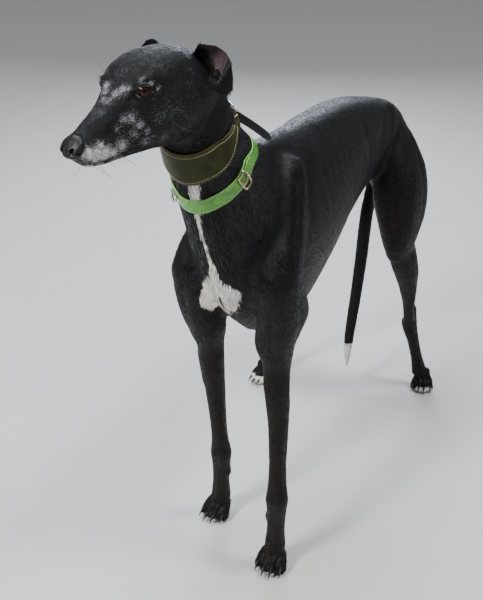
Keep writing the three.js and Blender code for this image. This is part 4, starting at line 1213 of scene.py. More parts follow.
def strand_noise(recipe):
    """Fine strands along the lie: noises stretched three ways, blended by how near each is to it."""
    lie = recipe.attribute("lie", "Vector")
    strands, total = 0.0, 0.0
    for turn in LIE_TURNS:
        strand = recipe.noise(STRAND, turn, 3.0, 0.6)
        dot = recipe.tree.nodes.new("ShaderNodeVectorMath")
        dot.operation = "DOT_PRODUCT"
        recipe.feed(dot.inputs[0], lie)
        dot.inputs[1].default_value = (0, math.cos(turn), math.sin(turn))
        weight = recipe.math("POWER", recipe.math("ABSOLUTE", dot.outputs["Value"]), 8.0)
        strands = recipe.plus(strands, recipe.times(strand, weight))
        total = recipe.plus(total, weight)
    return recipe.math("DIVIDE", strands, recipe.plus(total, 0.02))


def coat_material():
    recipe = Recipe("coat", 0.42, Sheen_Weight=0.02, Sheen_Roughness=0.35,
                    Sheen_Tint=(0.62, 0.72, 0.92, 1), Specular_IOR_Level=0.20)
    hair = strand_noise(recipe)
    tint, grey_and_glint, rim = recipe.number("tint"), recipe.number("grey_and_glint"), recipe.number("rim")
    clumps = recipe.noise((0.006, 0.02, 0.012), -0.6)

    worn = recipe.step(recipe.plus(recipe.times(tint, 0.35), clumps), 0.45, 1.05)
    colour = recipe.blend(worn, BLACK_HAIR, BLACK_HAIR_WORN)
    brown = recipe.times(recipe.number("brown"), recipe.step(clumps, 0.30, 0.70, 0.35, 1.0))
    colour = recipe.blend(brown, colour, BROWN_HAIR)
    colour = recipe.blend(recipe.times(recipe.number("bare"), 0.75), colour, BARE_SKIN)
    # Pink inside the ears, less on the right ear as painted shade
    ear_pink_and_shade = recipe.times(recipe.number("ear_pink_and_shade"), recipe.step(clumps, 0.2, 0.8, 0.5, 1.0))
    colour = recipe.blend(ear_pink_and_shade, colour, EAR_SKIN)

    speck = recipe.plus(recipe.times(tint, 0.6), recipe.times(recipe.step(hair, 0.30, 0.70), 0.45))
    # Grey hairs speckled through the black, and on the shoulder painted glints
    greyed_and_glinting = recipe.step(recipe.minus(grey_and_glint, speck), -0.16, 0.26)
    greyed_and_glinting = recipe.times(greyed_and_glinting, recipe.step(grey_and_glint, 0.1, 0.7, 0.5, 1.0))
    silver = recipe.blend(recipe.step(grey_and_glint, 0.6, 0.95), GREY_HAIR_AND_GLINT, SILVER_HAIR)
    colour = recipe.blend(greyed_and_glinting, colour, silver)
    colour = recipe.blend(rim, colour, BLACK_SKIN)

    frayed = recipe.plus(recipe.number("white"), recipe.times(recipe.minus(hair, 0.5), 6.0))
    frayed = recipe.plus(frayed, recipe.times(recipe.minus(tint, 0.5), 2.0))
    # White hair turned tan in the chest's fold, partly as painted shade of the fold
    pale = recipe.blend(recipe.times(recipe.number("fold_tan_and_shade"), clumps), WHITE_HAIR, TAN_AND_FOLD_SHADE)
    pale = recipe.blend(recipe.step(hair, 0.5, 0.75, 0.0, 0.35), pale, GREY_HAIR_AND_GLINT)
    recipe.colour(recipe.blend(recipe.step(frayed, 0.9, -0.9), colour, pale))
    recipe.roughness(recipe.step(rim, 0.0, 1.0, 0.44, 0.34))
    recipe.bump(hair, 0.0009, 0.75)
    return recipe.material


def nose_material():
    recipe = Recipe("nose", 0.42, Coat_Weight=0.08, Coat_Roughness=0.25, Specular_IOR_Level=0.35)
    pebbles = recipe.cells(0.0011)
    wear = recipe.grain(0.004)
    dark, worn = (0.0026, 0.0026, 0.0032), (0.0050, 0.0048, 0.0056)
    recipe.colour(recipe.blend(recipe.step(wear, 0.4, 0.7), dark, worn))
    recipe.roughness(recipe.step(wear, 0.3, 0.7, 0.40, 0.52))
    recipe.bump(recipe.step(pebbles, 0.0, 0.55, 1.0, 0.0), 0.00016, 0.8)
    return recipe.material


def eye_material():
    recipe = Recipe("eye", 0.12, Coat_Weight=0.25, Coat_Roughness=0.03, Specular_IOR_Level=0.15)
    polar = recipe.number("polar")
    rays = recipe.grain(0.0004, 3.0)
    iris = recipe.blend(recipe.step(polar, 9, 29), (0.008, 0.0032, 0.0014), (0.026, 0.0092, 0.0034))
    iris = recipe.blend(recipe.step(rays, 0.35, 0.7, 0.0, 0.5), iris, (0.040, 0.013, 0.005))
    colour = recipe.blend(recipe.step(polar, 9.5, 11.5), (0.0012, 0.0010, 0.0012), iris)
    colour = recipe.blend(recipe.step(polar, 26, 31), colour, (0.0035, 0.0022, 0.0018))
    colour = recipe.blend(recipe.step(polar, 35, 42), colour, (0.020, 0.012, 0.010))
    recipe.colour(colour)
    return recipe.material


def rim_material():
    recipe = Recipe("wet_rim", 0.14, Coat_Weight=0.6, Coat_Roughness=0.08)
    wear = recipe.grain(0.002)
    recipe.colour(recipe.blend(wear, (0.006, 0.005, 0.0055), (0.020, 0.012, 0.011)))
    return recipe.material


def claw_material():
    recipe = Recipe("claw", 0.34)
    growth = recipe.noise((0.002, 0.0012, 0.006))
    recipe.colour(recipe.blend(recipe.step(growth, 0.3, 0.7), (0.005, 0.0045, 0.004), (0.026, 0.021, 0.018)))
    recipe.roughness(recipe.step(growth, 0.3, 0.7, 0.28, 0.45))
    recipe.bump(growth, 0.0002, 0.5)
    return recipe.material


def hair_material(name, colour, deeper):
    recipe = Recipe(name, 0.4)
    recipe.colour(recipe.blend(recipe.grain(0.004), colour, deeper))
    return recipe.material


def leather_material(name, dark, light, edge):
    """Smooth leather with a fine grain and paler cut edges."""
    recipe = Recipe(name, 0.46, Specular_IOR_Level=0.18)
    wear = recipe.grain(0.018, 4.0)
    grain = recipe.cells(0.00085)
    fine = recipe.grain(0.0006, 3.0)
    colour = recipe.blend(recipe.step(wear, 0.30, 0.72), dark, light)
    worn_edge = recipe.times(recipe.number("edge"), recipe.step(fine, 0.2, 0.8, 0.5, 1.0))
    recipe.colour(recipe.blend(worn_edge, colour, edge))
    recipe.roughness(recipe.step(wear, 0.3, 0.7, 0.36, 0.50))
    recipe.bump(recipe.plus(recipe.times(recipe.step(grain, 0.0, 0.5), -0.5), fine), 0.00018, 0.7)
    return recipe.material


def webbing_material():
    """Green coated webbing: the weave shows faintly under a glossy coat, the edges are paler."""
    recipe = Recipe("webbing", 0.24, Coat_Weight=0.35, Coat_Roughness=0.12)
    wear = recipe.grain(0.010, 4.0)
    along = recipe.math("SINE", recipe.times(recipe.number("along"), 3.6))
    across = recipe.math("SINE", recipe.times(recipe.number("across"), 5.0))
    weave = recipe.times(along, across)
    colour = recipe.blend(recipe.step(wear, 0.3, 0.75), (0.045, 0.25, 0.005), (0.105, 0.42, 0.013))
    colour = recipe.blend(recipe.times(recipe.number("edge"), 0.8), colour, (0.36, 0.74, 0.17))
    recipe.colour(colour)
    recipe.roughness(recipe.step(wear, 0.3, 0.7, 0.20, 0.34))
    recipe.bump(recipe.plus(recipe.times(weave, 0.5), wear), 0.00022, 0.5)
    return recipe.material


def metal_material(name, clean, tarnished):
    recipe = Recipe(name, 0.22, Metallic=1.0)
    wear = recipe.grain(0.004, 4.0)
    scratches = recipe.noise((0.0003, 0.004, 0.0006), 0.4, 2.0)
    recipe.colour(recipe.blend(recipe.step(wear, 0.42, 0.7), clean, tarnished))
    recipe.roughness(recipe.step(wear, 0.3, 0.7, 0.14, 0.34))
    recipe.bump(scratches, 0.00008, 0.5)
    return recipe.material


def thread_material():
    recipe = Recipe("thread", 0.6, Sheen_Weight=0.2)
    twist = recipe.noise((0.0003, 0.0008, 0.0003), 0.5, 2.0)
    recipe.colour(recipe.blend(twist, (0.50, 0.45, 0.24), (0.78, 0.73, 0.48)))
    recipe.bump(twist, 0.0001, 0.6)
    return recipe.material


# Eyes, nose, claws and the few long hairs

CORNEA_DEGREES, CORNEA_BULGE_MM = 34.0, 0.9
EYE_RINGS, EYE_SIDES = 40, 40
RIM_PLACES = 48


def make_eye(eye):
    """An eyeball turned so that its pole looks along the gaze, with a bulging cornea."""
    rings, sides = EYE_RINGS, EYE_SIDES
    points = [eye.middle + eye.gaze * (EYE_RADIUS_MM + CORNEA_BULGE_MM) * MM]
    polar = [0.0]
    for i in range(1, rings):
        angle = math.pi * i / rings
        degrees = math.degrees(angle)
        bulge = CORNEA_BULGE_MM * float(smooth_step(CORNEA_DEGREES - degrees, 0, CORNEA_DEGREES))
        radius = (EYE_RADIUS_MM + bulge) * MM
        for k in range(sides):
            out = eye.spoke(2 * math.pi * k / sides)
            points.append(eye.middle + (eye.gaze * math.cos(angle) + out * math.sin(angle)) * radius)
            polar.append(degrees)
    points.append(eye.middle - eye.gaze * EYE_RADIUS_MM * MM)
    polar.append(180.0)
    last = len(points) - 1
    faces = [(0, 1 + k, 1 + (k + 1) % sides) for k in range(sides)]
    for i in range(rings - 2):
        row = 1 + i * sides
        for k in range(sides):
            after = (k + 1) % sides
            faces.append((row + k, row + sides + k, row + sides + after, row + after))
    row = last - sides
    faces += [(last, row + (k + 1) % sides, row + k) for k in range(sides)]
    ball = object_of("eyeball", points, faces)
    add_number(ball.data, "polar", polar)
    face_outward(ball)
    shade_smooth(ball)
    return ball


def tube(name, points, radius, sides=8, closed=False, taper=None):
    """A round wire through places, its thickness as a number or one for each place."""
    points = np.array(points, float)
    count = len(points)
    if closed:
        along = unit(np.roll(points, -1, 0) - np.roll(points, 1, 0))
        out = points - points.mean(0)
    else:
        along = unit(np.gradient(points, axis=0))
        out = np.tile(np.cross(along[0], [0.31, 0.52, 0.79]), (count, 1))
    out = unit(out - along * (out * along).sum(1)[:, None])
    over = np.cross(along, out)
    thick = radius * (np.ones(count) if taper is None else np.array(taper))
    spin = 2 * np.pi * np.arange(sides) / sides
    rings = points[:, None] + thick[:, None, None] * (out[:, None] * np.cos(spin)[None, :, None]
                                                      + over[:, None] * np.sin(spin)[None, :, None])
    thing = object_of(name, rings.reshape(-1, 3), ring_faces(count, sides, closed))
    face_outward(thing)
    shade_smooth(thing)
    return thing


def rim_path(eye, inset, reach_mm):
    """Places along the edge of the lids, each found by halving along its spoke."""
    path = []
    for k in range(RIM_PLACES):
        out = eye.spoke(2 * math.pi * k / RIM_PLACES)
        low, high = 2.0, 20.0
        for _ in range(18):
            middle = (low + high) / 2
            spot = eye.middle + out * middle * MM + eye.gaze * 0.001
            if eye.from_rim(spot[None])[0] < inset:
                low = middle
            else:
                high = middle
        depth = math.sqrt(max(reach_mm ** 2 - low ** 2, 1.0))
        path.append(eye.middle + (out * low + eye.gaze * depth) * MM)
    return path


def make_nose():
    nose = join_all([node_copy("nose", 0.0002)], "nose_pad")
    even_surface(nose, NOSE_GRID)
    surface = Surface(nose)
    surface.relax(12)
    surface.shape(both_sides(NOSE_FORMS))
    surface.relax(2)
    sparser(nose, NOSE_LIMIT)
    shade_smooth(nose)
    return nose


# Folds of the nose: [width, height] in mm and a path [forward, left, up]
NOSE_FORMS = [
    (1.1, -1.3, [(226, 0, 4), (224, 0, -6), (218, 0, -14)]),
    (2.2, -2.6, [(223, 6.5, -2), (220, 9.5, -4)]),
    (1.2, -1.4, [(219, 11, -5), (214, 13.5, -7), (210, 14, -6)]),
    (2.2, 0.7, [(222, 8, 3), (216, 12.5, 0), (211, 14, -2)]),
]

# Whiskers, brow hairs and cheek hairs start here [forward, left, up]
WHISKER_ROOTS = [(201, 15, -3), (198, 17, -8), (193, 18, -4), (190, 19.5, -10), (184, 21, -6),
                 (182, 21, -13), (176, 22.5, -9), (172, 23, -15), (165, 24.5, -11), (196, 10, -31),
                 (188, 11, -33)]
BROW_ROOTS = [(119, 30, 50), (115, 33, 50), (111, 36, 48)]
CHEEK_ROOTS = [(96, 45, -8), (88, 48, -20)]
# For each group: its roots, the way the hairs leave in the head's terms, their length in mm
LONG_HAIRS = [
    (WHISKER_ROOTS, (0.25, 0.85, -0.35), 30),
    (BROW_ROOTS, (0.25, 0.55, 0.75), 16),
    (CHEEK_ROOTS, (0.0, 0.95, -0.2), 20),
]
HAIR_RADIUS, LASH_RADIUS = 0.00024, 0.00013
LASH_LENGTH, LASH_SAG = 0.0045, 0.0015
FIRST_LASH, LAST_LASH = 3, 21     # places on the rim of the lids


def grow_hair(head_tree, chance, root, way, length, side):
    start = np.array(head_tree.find_nearest(Vector(head_spot(root[0], side * root[1], root[2])))[0])
    swing = 0.2 * chance.standard_normal(3)
    leave = unit(head_way(way[0] + swing[0], side * (way[1] + swing[1]), way[2] + swing[2]))
    fall = head_way(-0.7, 0, -0.5)
    reach = length * MM * (0.8 + 0.4 * chance.random())
    path = [start + leave * reach * t + fall * reach * 0.35 * t * t for t in np.linspace(-0.06, 1, 7)]
    return tube("hair", path, HAIR_RADIUS, 3, taper=[1, 1, 0.9, 0.75, 0.55, 0.35, 0.12])


def grow_lash(eye, start, spin):
    leave = unit(eye.gaze * 0.8 + eye.high * 0.35 + eye.across * 0.5 * math.cos(spin))
    path = [start + leave * LASH_LENGTH * t - eye.high * LASH_SAG * t * (1 - t)
            for t in np.linspace(-0.1, 1, 4)]
    return tube("hair", path, LASH_RADIUS, 3, taper=[1, 0.9, 0.6, 0.15])


def make_long_hairs(head_tree, chance):
    """Whiskers, brow and cheek hairs and the lashes: few, thin and tapered."""
    hairs = []
    for roots, way, length in LONG_HAIRS:
        for root in roots:
            for side in SIDES.values():
                hairs.append(grow_hair(head_tree, chance, root, way, length, side))
    for eye in EYES.values():
        rim = rim_path(eye, 1.2, 12.6)
        for k in range(FIRST_LASH, LAST_LASH + 1):
            hairs.append(grow_lash(eye, rim[k], 2 * math.pi * k / RIM_PLACES))
    return join_all(hairs, "long_hairs")


# Collars

BAND_PLACES, BAND_ROWS = 180, 9
UPPER_EDGE_FOLLOWS = 7     # how far in mm the upper edge may lean in after the neck
RAY_START, RAY_LENGTH = 20, 90     # in mm from a band's middle line
TALLEST_REACH = 50.0


class Band:
    """A collar round the neck: where its middle goes, and places on it by angle (0 at the left side,
    90 at the nape), height along its axis and lift off the neck, all in mm."""

    def __init__(self, at, axis, throat, nape, sag, tree):
        self.at, self.along = body_spot(*at), unit(np.array(axis, float))
        self.throat, self.nape, self.sag = throat, nape, sag
        self.left = np.array([1.0, 0, 0])
        self.back = np.cross(self.along, self.left)
        self.count = BAND_PLACES
        self.shares = np.linspace(-1, 1, BAND_ROWS)
        reach = np.zeros((self.count, len(self.shares)))
        for row in range(self.count):
            angle = 2 * math.pi * row / self.count
            ups = self.shares * self.width(angle) / 2
            found = np.array([self.neck_reach(tree, angle, up) for up in ups])
            lower = ups < 2
            slope = min(np.polyfit(ups[lower], found[lower], 1)[0], 0.1)
            level = np.max(found[lower] - slope * ups[lower])
            ideal = level + slope * ups
            reach[row] = np.minimum(ideal, np.maximum(found, ideal - UPPER_EDGE_FOLLOWS))
        for _ in range(14):
            reach = 0.5 * reach + 0.25 * (np.roll(reach, 1, 0) + np.roll(reach, -1, 0))
            inner = 0.5 * reach[:, 1:-1] + 0.25 * (reach[:, 2:] + reach[:, :-2])
            reach[:, 1:-1] = inner
        self.reach = reach

    def width(self, angle):
        from_throat = math.acos(max(-1.0, min(1.0, -math.sin(angle))))
        return self.throat + (self.nape - self.throat) * float(smooth_step(from_throat, 0.7, 1.8))

    def line(self, angle, up):
        lowered = up - self.sag * float(smooth_step(math.sin(angle), 0, 1))
        return self.at + self.along * lowered * MM, self.left * math.cos(angle) + self.back * math.sin(angle)

    def neck_reach(self, tree, angle, up):
        start, out = self.line(angle, up)
        hit = tree.ray_cast(Vector(start + out * RAY_START * MM), Vector(out), RAY_LENGTH * MM)
        return RAY_START + hit[3] / MM if hit[0] else TALLEST_REACH

    def spot(self, angle, up, lift):
        place = (angle / (2 * math.pi)) % 1.0 * self.count
        low = int(place) % self.count
        share = place - int(place)
        column = self.reach[low] * (1 - share) + self.reach[(low + 1) % self.count] * share
        reach = np.interp(up / (self.width(angle) / 2), self.shares, column)
        start, out = self.line(angle, up)
        return start + out * (reach + lift) * MM

    def place(self, degrees, lift):
        """Steps round, up and away from the band at an angle."""
        angle = math.radians(degrees)
        spot = self.spot(angle, 0, lift)
        around = unit(self.spot(angle + 0.05, 0, lift) - self.spot(angle - 0.05, 0, lift))
        up = unit(self.spot(angle, 4, lift) - self.spot(angle, -4, lift))
        out = unit(np.cross(around, up))
        up = np.cross(out, around)
        return lambda along, across, away: spot + (around * along + up * across + out * away) * MM


# Half the section of a strap: [share of half its width, share of its thickness, paler edge]
HALF_SECTION = [(0.0, 1.03, 0.0), (0.6, 1.0, 0.0), (0.88, 0.985, 0.15), (0.95, 0.9, 0.7),
                (0.985, 0.72, 1.0), (1.0, 0.35, 1.0), (0.94, 0.0, 0.3)]
STRAP_SECTION = [(-share, high, pale) for share, high, pale in HALF_SECTION[:0:-1]] + HALF_SECTION


def make_strap(name, places, closed, top_edge_only=False):
    """A strap through rows of places: each row is a function of the section's share across and up."""
    points, edge, along, across = [], [], [], []
    for place, distance in places:
        for share, high, pale in STRAP_SECTION:
            points.append(place(share, high))
            edge.append(pale if share > 0 or not top_edge_only else 0.0)
            along.append(distance)
            across.append(share * 4)
    thing = object_of(name, points, ring_faces(len(places), len(STRAP_SECTION), closed))
    for attribute, values in (("edge", edge), ("along", along), ("across", across)):
        add_number(thing.data, attribute, values)
    face_outward(thing)
    shade_smooth(thing)
    return thing


NECK_MM = 55     # about half the thickness of the neck
STRAP_PLACES = 200


def band_rows(band, thick, base):
    rows = []
    for k in range(STRAP_PLACES):
        angle = 2 * math.pi * k / STRAP_PLACES
        half = band.width(angle) / 2

        def place(share, high, angle=angle, half=half):
            return band.spot(angle, share * half, base + high * thick)

        rows.append((place, NECK_MM * angle))
    return rows


THREAD_RADIUS = 0.0005


def make_stitches(band, lift, spots):
    """Short threads on a band from a list of [angle, up] pairs in degrees and mm."""
    threads = []
    for (start_angle, start_up), (end_angle, end_up) in spots:
        path = []
        for t, bow in ((0, -0.5), (0.2, 0.1), (0.5, 0.35), (0.8, 0.1), (1, -0.5)):
            angle = math.radians(start_angle + (end_angle - start_angle) * t)
            path.append(band.spot(angle, start_up + (end_up - start_up) * t, lift + bow))
        threads.append(tube("stitch", path, THREAD_RADIUS, 5))
    return threads


def buckle_parts(band, degrees, half, over, wire, lift):
    """A rounded wire frame over a band at an angle, with its prong; sizes in mm."""
    place = band.place(degrees, lift + wire)
    high = band.width(math.radians(degrees)) / 2 + over

    def corner(value):
        return math.copysign(abs(value) ** 0.4, value)

    frame_path = []
    for k in range(40):
        spin = 2 * math.pi * k / 40
        along = half * corner(math.cos(spin))
        frame_path.append(place(along, high * corner(math.sin(spin)), -0.012 * along * along))
    frame_wire = tube("frame_wire", frame_path, wire * MM, 10, closed=True)
    prong_path = [place(t * half, 0, 0.7 + 0.5 * math.sin(math.pi * (t + 1) / 2))
                  for t in np.linspace(-1, 1.12, 9)]
    thickness = [1.3, 1.2, 1, 1, 1, 1, 0.95, 0.85, 0.6]
    prong = tube("prong", prong_path, wire * 0.8 * MM, 8, taper=thickness)
    return [frame_wire, prong]


STITCH_INSET, STITCH_PITCH = 4.4, 3.5     # in mm from the edge, and in degrees
PANEL_END = 14.0     # the broad panel of the leather collar ends so many degrees above each side
LEATHER_THICK, LEATHER_BASE = 3.1, 0.5
GREEN_THICK, GREEN_BASE = 2.0, 0.4
END_STRAP_THICK, END_STRAP_BASE = 1.7, 2.9
LEATHER_END_FROM, LEATHER_END_TO = (30, -347, 763), (37, -247, 708)
LEATHER_END_HALF, LEATHER_END_THICK = 0.00575, 0.0026


def panel_stitches(leather):
    """Pairs of places, [angle, up], for the stitches along the edges of the panel and its ends."""
    pairs = []
    for side in (-1, 1):
        angle = -180 - PANEL_END
        while angle < PANEL_END:
            up = side * (leather.width(math.radians(angle)) / 2 - STITCH_INSET)
            pairs.append(((angle, up), (angle + STITCH_PITCH * 0.5, up)))
            angle += STITCH_PITCH
    for end, turn in ((PANEL_END, 1), (-180 - PANEL_END, -1)):
        half = leather.width(math.radians(end)) / 2 - STITCH_INSET
        for k in range(4):
            ups = [-half + 2 * half * step / 4 for step in (k, k + 0.62)]
            pairs.append([(end + turn * 1.5 * math.cos(up / half), up) for up in ups])
    return pairs


def make_stitching(leather):
    lift = LEATHER_BASE + LEATHER_THICK
    threads = make_stitches(leather, lift, panel_stitches(leather))
    place = leather.place(PANEL_END + 7, lift)
    loose = [place(-1, -1, 0), place(0, 0.5, 1.2), place(2, 0, 3), place(5, -2.5, 5),
             place(8, -5.5, 6), place(10.5, -8, 6)]
    threads.append(tube("loose_thread", loose, THREAD_RADIUS, 6, taper=[1, 1, 1, 1, 1, 1.5]))
    return join_all(threads, "stitching")


def make_leather_end():
    """The free end of the leather strap, which stands off the nape and ends in a round tip."""
    start, end = body_spot(*LEATHER_END_FROM), body_spot(*LEATHER_END_TO)
    along = unit(end - start)
    out = unit(np.array([1.0, 0, 0]) - along * along[0])
    high = np.cross(out, along)
    high = high if high[2] > 0 else -high
    rows = []
    for t in (0, 0.05, 0.2, 0.4, 0.6, 0.75, 0.85, 0.91, 0.95, 0.98, 1.0):
        spot = start + (end - start) * t + out * 0.003 * math.sin(math.pi * t)
        rounding = 1 if t < 0.82 else math.sqrt(max(0.02, 1 - ((t - 0.82) / 0.182) ** 2))

        def place(share, lift, spot=spot, half=LEATHER_END_HALF * rounding):
            return spot + high * share * half + out * (lift - 0.5) * LEATHER_END_THICK

        rows.append((place, 100 * t))
    return make_strap("strap_end", rows, False, top_edge_only=True)


def make_green_end(green):
    """The end of the green strap, laid over the band and held by its buckle."""
    rows = []
    for t in np.linspace(0, 1, 24):
        angle = math.radians(-22 + 40 * t)
        half = 9.5 * (1 if t < 0.93 else 1 - 0.45 * (t - 0.93) / 0.07)

        def place(share, lift, angle=angle, half=half, bow=1.2 * math.sin(math.pi * t * 0.9)):
            return green.spot(angle, share * half, END_STRAP_BASE + END_STRAP_THICK * lift + bow)

        rows.append((place, NECK_MM * angle))
    return make_strap("green_strap_end", rows, False)


def make_eyelets(green):
    rings = []
    for degrees in (-8, 5):
        place = green.place(degrees, 5.1)
        path = [place(2.1 * math.cos(a), 2.1 * math.sin(a), 0.4)
                for a in np.linspace(0, 2 * math.pi, 20, endpoint=False)]
        rings.append(tube("eyelet", path, 0.0006, 8, closed=True))
    return rings


def make_ring(green):
    """A half-round ring with a straight bar over the band."""
    place = green.place(240, END_STRAP_BASE + END_STRAP_THICK)
    path = [place(8 * math.cos(a), 4 - 13 * math.sin(a), 3 * math.sin(a))
            for a in np.linspace(0, math.pi, 26)]
    path += [place(-8 + 16 * t, 4, 0) for t in np.linspace(0.08, 0.92, 10)]
    return tube("half_ring", path, 0.0017, 10, closed=True)


def make_collars(tree):
    leather = Band((0, -378.7, 744.6), (0, -0.72, 0.694), 42, 19, 4, tree)
    green = Band((0, -348, 693.5), (0, -0.7, 0.714), 21, 20, 28, tree)
    olive = leather_material("olive_leather", (0.017, 0.0185, 0.0022), (0.040, 0.041, 0.0060),
                             (0.105, 0.098, 0.030))
    dark = leather_material("dark_leather", (0.0030, 0.0028, 0.0024), (0.0065, 0.0056, 0.0042),
                            (0.36, 0.32, 0.25))
    silver = metal_material("steel", (0.62, 0.61, 0.58), (0.42, 0.40, 0.36))
    bronze = metal_material("brass", (0.60, 0.48, 0.33), (0.34, 0.26, 0.17))
    thread = thread_material()
    webbing = webbing_material()

    band = make_strap("leather_band", band_rows(leather, LEATHER_THICK, LEATHER_BASE), True)
    complete(band, olive, "leather_band", "leather", "leather_collar")
    complete(make_stitching(leather), thread, "stitching", "leather")
    buckle = join_all(buckle_parts(leather, 60, 9, 3.5, 1.5, 4.2), "strap_buckle")
    complete(buckle, silver, "strap_buckle", "metal", "leather_buckle")
    complete(make_leather_end(), dark, "strap_end", "leather", "leather_end")

    band = make_strap("green_band", band_rows(green, GREEN_THICK, GREEN_BASE), True)
    complete(band, webbing, "green_band", "webbing", "green_collar")
    complete(make_green_end(green), webbing, "green_strap_end", "webbing", "green_end")
    eyelets = make_eyelets(green)
    complete(make_ring(green), silver, "collar_ring", "metal", "green_ring")
    buckle = join_all(buckle_parts(green, -17, 8, 3, 1.6, 4.8) + eyelets, "green_strap_buckle")
    complete(buckle, bronze, "green_strap_buckle", "metal", "green_buckle")


# Making the dog

TUFTS_A_PIECE = 19500
ROOM_FLOOR = 1e-9     # keeps the chance of a root above zero everywhere


def above_collar(spots):
    """How far places lie above the plane where the two skins meet, in mm."""
    return (spots - COLLAR_SPOT) @ COLLAR_WAY / MM


def head_room(spots, ways):
    """No tufts on the lids and lips, few inside the ears, none under the collar."""
    facts = coat_facts(spots, ways)
    off_nose = to_head(spots)[:, 0] < 209
    clear = np.ones(len(spots))
    for eye in EYES.values():
        _, _, out = eye.local(spots)
        near = (eye.reach(spots) < 20) & (out > 0)
        clear *= np.where(near, smooth_step(eye.from_rim(spots), 2.4, 4.5), 1.0)
    room = clear * (1 - facts["rim"]) * (1 - 0.8 * facts["ear_pink_and_shade"])
    return room * (above_collar(spots) > 10) * off_nose + ROOM_FLOOR


def body_room(spots, ways):
    """No tufts on the pads, fewer on the bare skin, none under the collar."""
    pads = smooth_step(to_body(spots)[:, 2], 4, 9)
    thin = 1 - 0.6 * coat_facts(spots, ways)["bare"]
    return (above_collar(spots) < -8) * pads * thin + ROOM_FLOOR


def make_fur(skin, coat, name, pieces, room, chance):
    patches = Unwrap(skin)
    for piece in range(1, pieces + 1):
        title = name + str(piece)
        fur = grow_tufts(title, skin, TUFTS_A_PIECE, chance, patches, room)
        complete(fur, coat, title, "coat")


def make_eyes():
    eye_finish, rim_finish = eye_material(), rim_material()
    for name, eye in EYES.items():
        complete(make_eye(eye), eye_finish, "eyeball_" + name, "eye", "eye_" + name)
        rim = tube("rim", rim_path(eye, -0.15, 11.75), 0.00045, 8, closed=True)
        complete(rim, rim_finish, "eye_rim_" + name, "eye")


def tree_of_both(first, second):
    both = bmesh.new()
    both.from_mesh(first.data)
    both.from_mesh(second.data)
    tree = BVHTree.FromBMesh(both)
    both.free()
    return tree


def make_dog():
    chance = np.random.default_rng(SEED)
    head_skin = make_head_skin()
    shape_head(head_skin)
    sparser(head_skin, SKIN_LIMIT)
    body_skin = make_body_skin()
    shape_body(body_skin)
    sparser(body_skin, SKIN_LIMIT)
    coat = coat_material()
    for skin in (head_skin, body_skin):
        shade_smooth(skin)
        mark_skin(skin, chance)
        finish_with(skin, coat)

    make_fur(head_skin, coat, "head_fur_", 2, head_room, chance)
    make_fur(body_skin, coat, "body_fur_", 5, body_room, chance)
    hairs = make_long_hairs(tree_of(head_skin), chance)
    hair_finish = hair_material("long_hair", (0.012, 0.012, 0.014), (0.10, 0.10, 0.11))
    complete(hairs, hair_finish, "long_hairs", "coat")
    make_eyes()
    complete(make_nose(), nose_material(), "nose_pad", "nose", "nose")
    claw_nodes = sorted(member for member in NODES.keys() if member.startswith("claw_"))
    complete(smooth_copy("claws", claw_nodes), claw_material(), "claws", "claw", *claw_nodes)
    make_collars(tree_of_both(head_skin, body_skin))
    carry(head_skin, "head_skin", "coat", *HEAD_NODES)
    carry(body_skin, "body_skin", "coat", "neck", *TRUNK_NODES, *LEG_NODES)


# Camera, light and floor

CAMERA_AT_MM = np.array([574.8, -1336.1, 1014.4])
CAMERA_TURN, CAMERA_DOWN, CAMERA_ROLL = 28.065, 24.585, 0.72
PHOTO_HIGH, FOCAL_PIXELS = 600, 879.4
FILM_MM = 36.0
FLOOR_SIZE, FLOOR_RISE = 24, 5.0
RISE_FROM, RISE_TO = 2.6, 14.0


def add_camera():
    lens = bpy.data.cameras.new("camera")
    camera = bpy.data.objects.new("camera", lens)
    bpy.context.scene.collection.objects.link(camera)
    turn, down, roll = np.radians([CAMERA_TURN, CAMERA_DOWN, CAMERA_ROLL])
    back = Vector((math.sin(turn) * math.cos(down), -math.cos(turn) * math.cos(down), math.sin(down)))
    level = Vector((math.cos(turn), math.sin(turn), 0))
    upright = back.cross(level)
    right = math.cos(roll) * level + math.sin(roll) * upright
    up = -math.sin(roll) * level + math.cos(roll) * upright
    matrix = Matrix((right, up, back)).transposed().to_4x4()
    matrix.translation = Vector((CAMERA_AT_MM + MIDDLE_MM) * MM)
    camera.matrix_world = matrix
    lens.sensor_fit = "AUTO"
    lens.sensor_width = FILM_MM
    lens.lens = FOCAL_PIXELS / PHOTO_HIGH * FILM_MM
    lens.clip_start = 0.05
    bpy.context.scene.camera = camera


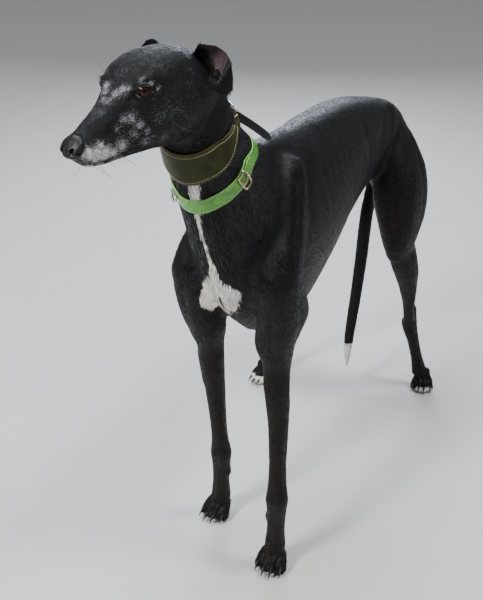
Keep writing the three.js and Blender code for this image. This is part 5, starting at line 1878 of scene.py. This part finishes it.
def add_area_light(name, spot, target, size, power, colour):
    data = bpy.data.lights.new(name, "AREA")
    data.shape = "DISK"
    data.size = size
    data.energy = power
    data.color = colour
    lamp = new_object(name, data)
    lamp.location = spot
    lamp.rotation_euler = (Vector(target) - Vector(spot)).to_track_quat("-Z", "Y").to_euler()


def add_floor():
    bpy.ops.mesh.primitive_grid_add(x_subdivisions=80, y_subdivisions=80, size=FLOOR_SIZE)
    floor = bpy.context.object
    floor.name = "floor"
    points = read_points(floor.data)
    away = np.hypot(points[:, 0], points[:, 1])
    points[:, 2] += FLOOR_RISE * smooth_step(away, RISE_FROM, RISE_TO)
    write_points(floor.data, points)
    shade_smooth(floor)
    finish = bpy.data.materials.new("pale_floor")
    finish.use_nodes = True
    shader = finish.node_tree.nodes["Principled BSDF"]
    shader.inputs["Roughness"].default_value = 0.9
    mottle = finish.node_tree.nodes.new("ShaderNodeTexNoise")
    mottle.inputs["Scale"].default_value = 3.0
    ramp = finish.node_tree.nodes.new("ShaderNodeValToRGB")
    ramp.color_ramp.elements[0].color = (0.60, 0.59, 0.57, 1)
    ramp.color_ramp.elements[1].color = (0.68, 0.67, 0.65, 1)
    finish.node_tree.links.new(mottle.outputs["Fac"], ramp.inputs["Fac"])
    finish.node_tree.links.new(ramp.outputs["Color"], shader.inputs["Base Color"])
    floor.data.materials.append(finish)


def add_world():
    world = bpy.data.worlds.new("studio")
    bpy.context.scene.world = world
    world.use_nodes = True
    backdrop = world.node_tree.nodes["Background"]
    backdrop.inputs["Color"].default_value = (0.80, 0.88, 1.0, 1)
    backdrop.inputs["Strength"].default_value = 0.20


make_dog()
add_camera()
add_floor()
add_world()
add_area_light("sun_side", (1.3, 0.2, 2.8), (0, 0, 0.5), 0.7, 48, (1.0, 0.98, 0.95))
add_area_light("sky_above", (-0.5, 0.1, 2.9), (0, 0, 0.5), 1.8, 62, (0.85, 0.92, 1.0))
add_area_light("front_above", (-0.5, -2.2, 2.1), (0, -0.2, 0.6), 0.6, 72, (1.0, 0.99, 0.97))
add_area_light("sheen_behind", (-1.3, 2.6, 1.9), (0, 0, 0.6), 1.6, 70, (0.80, 0.88, 1.0))
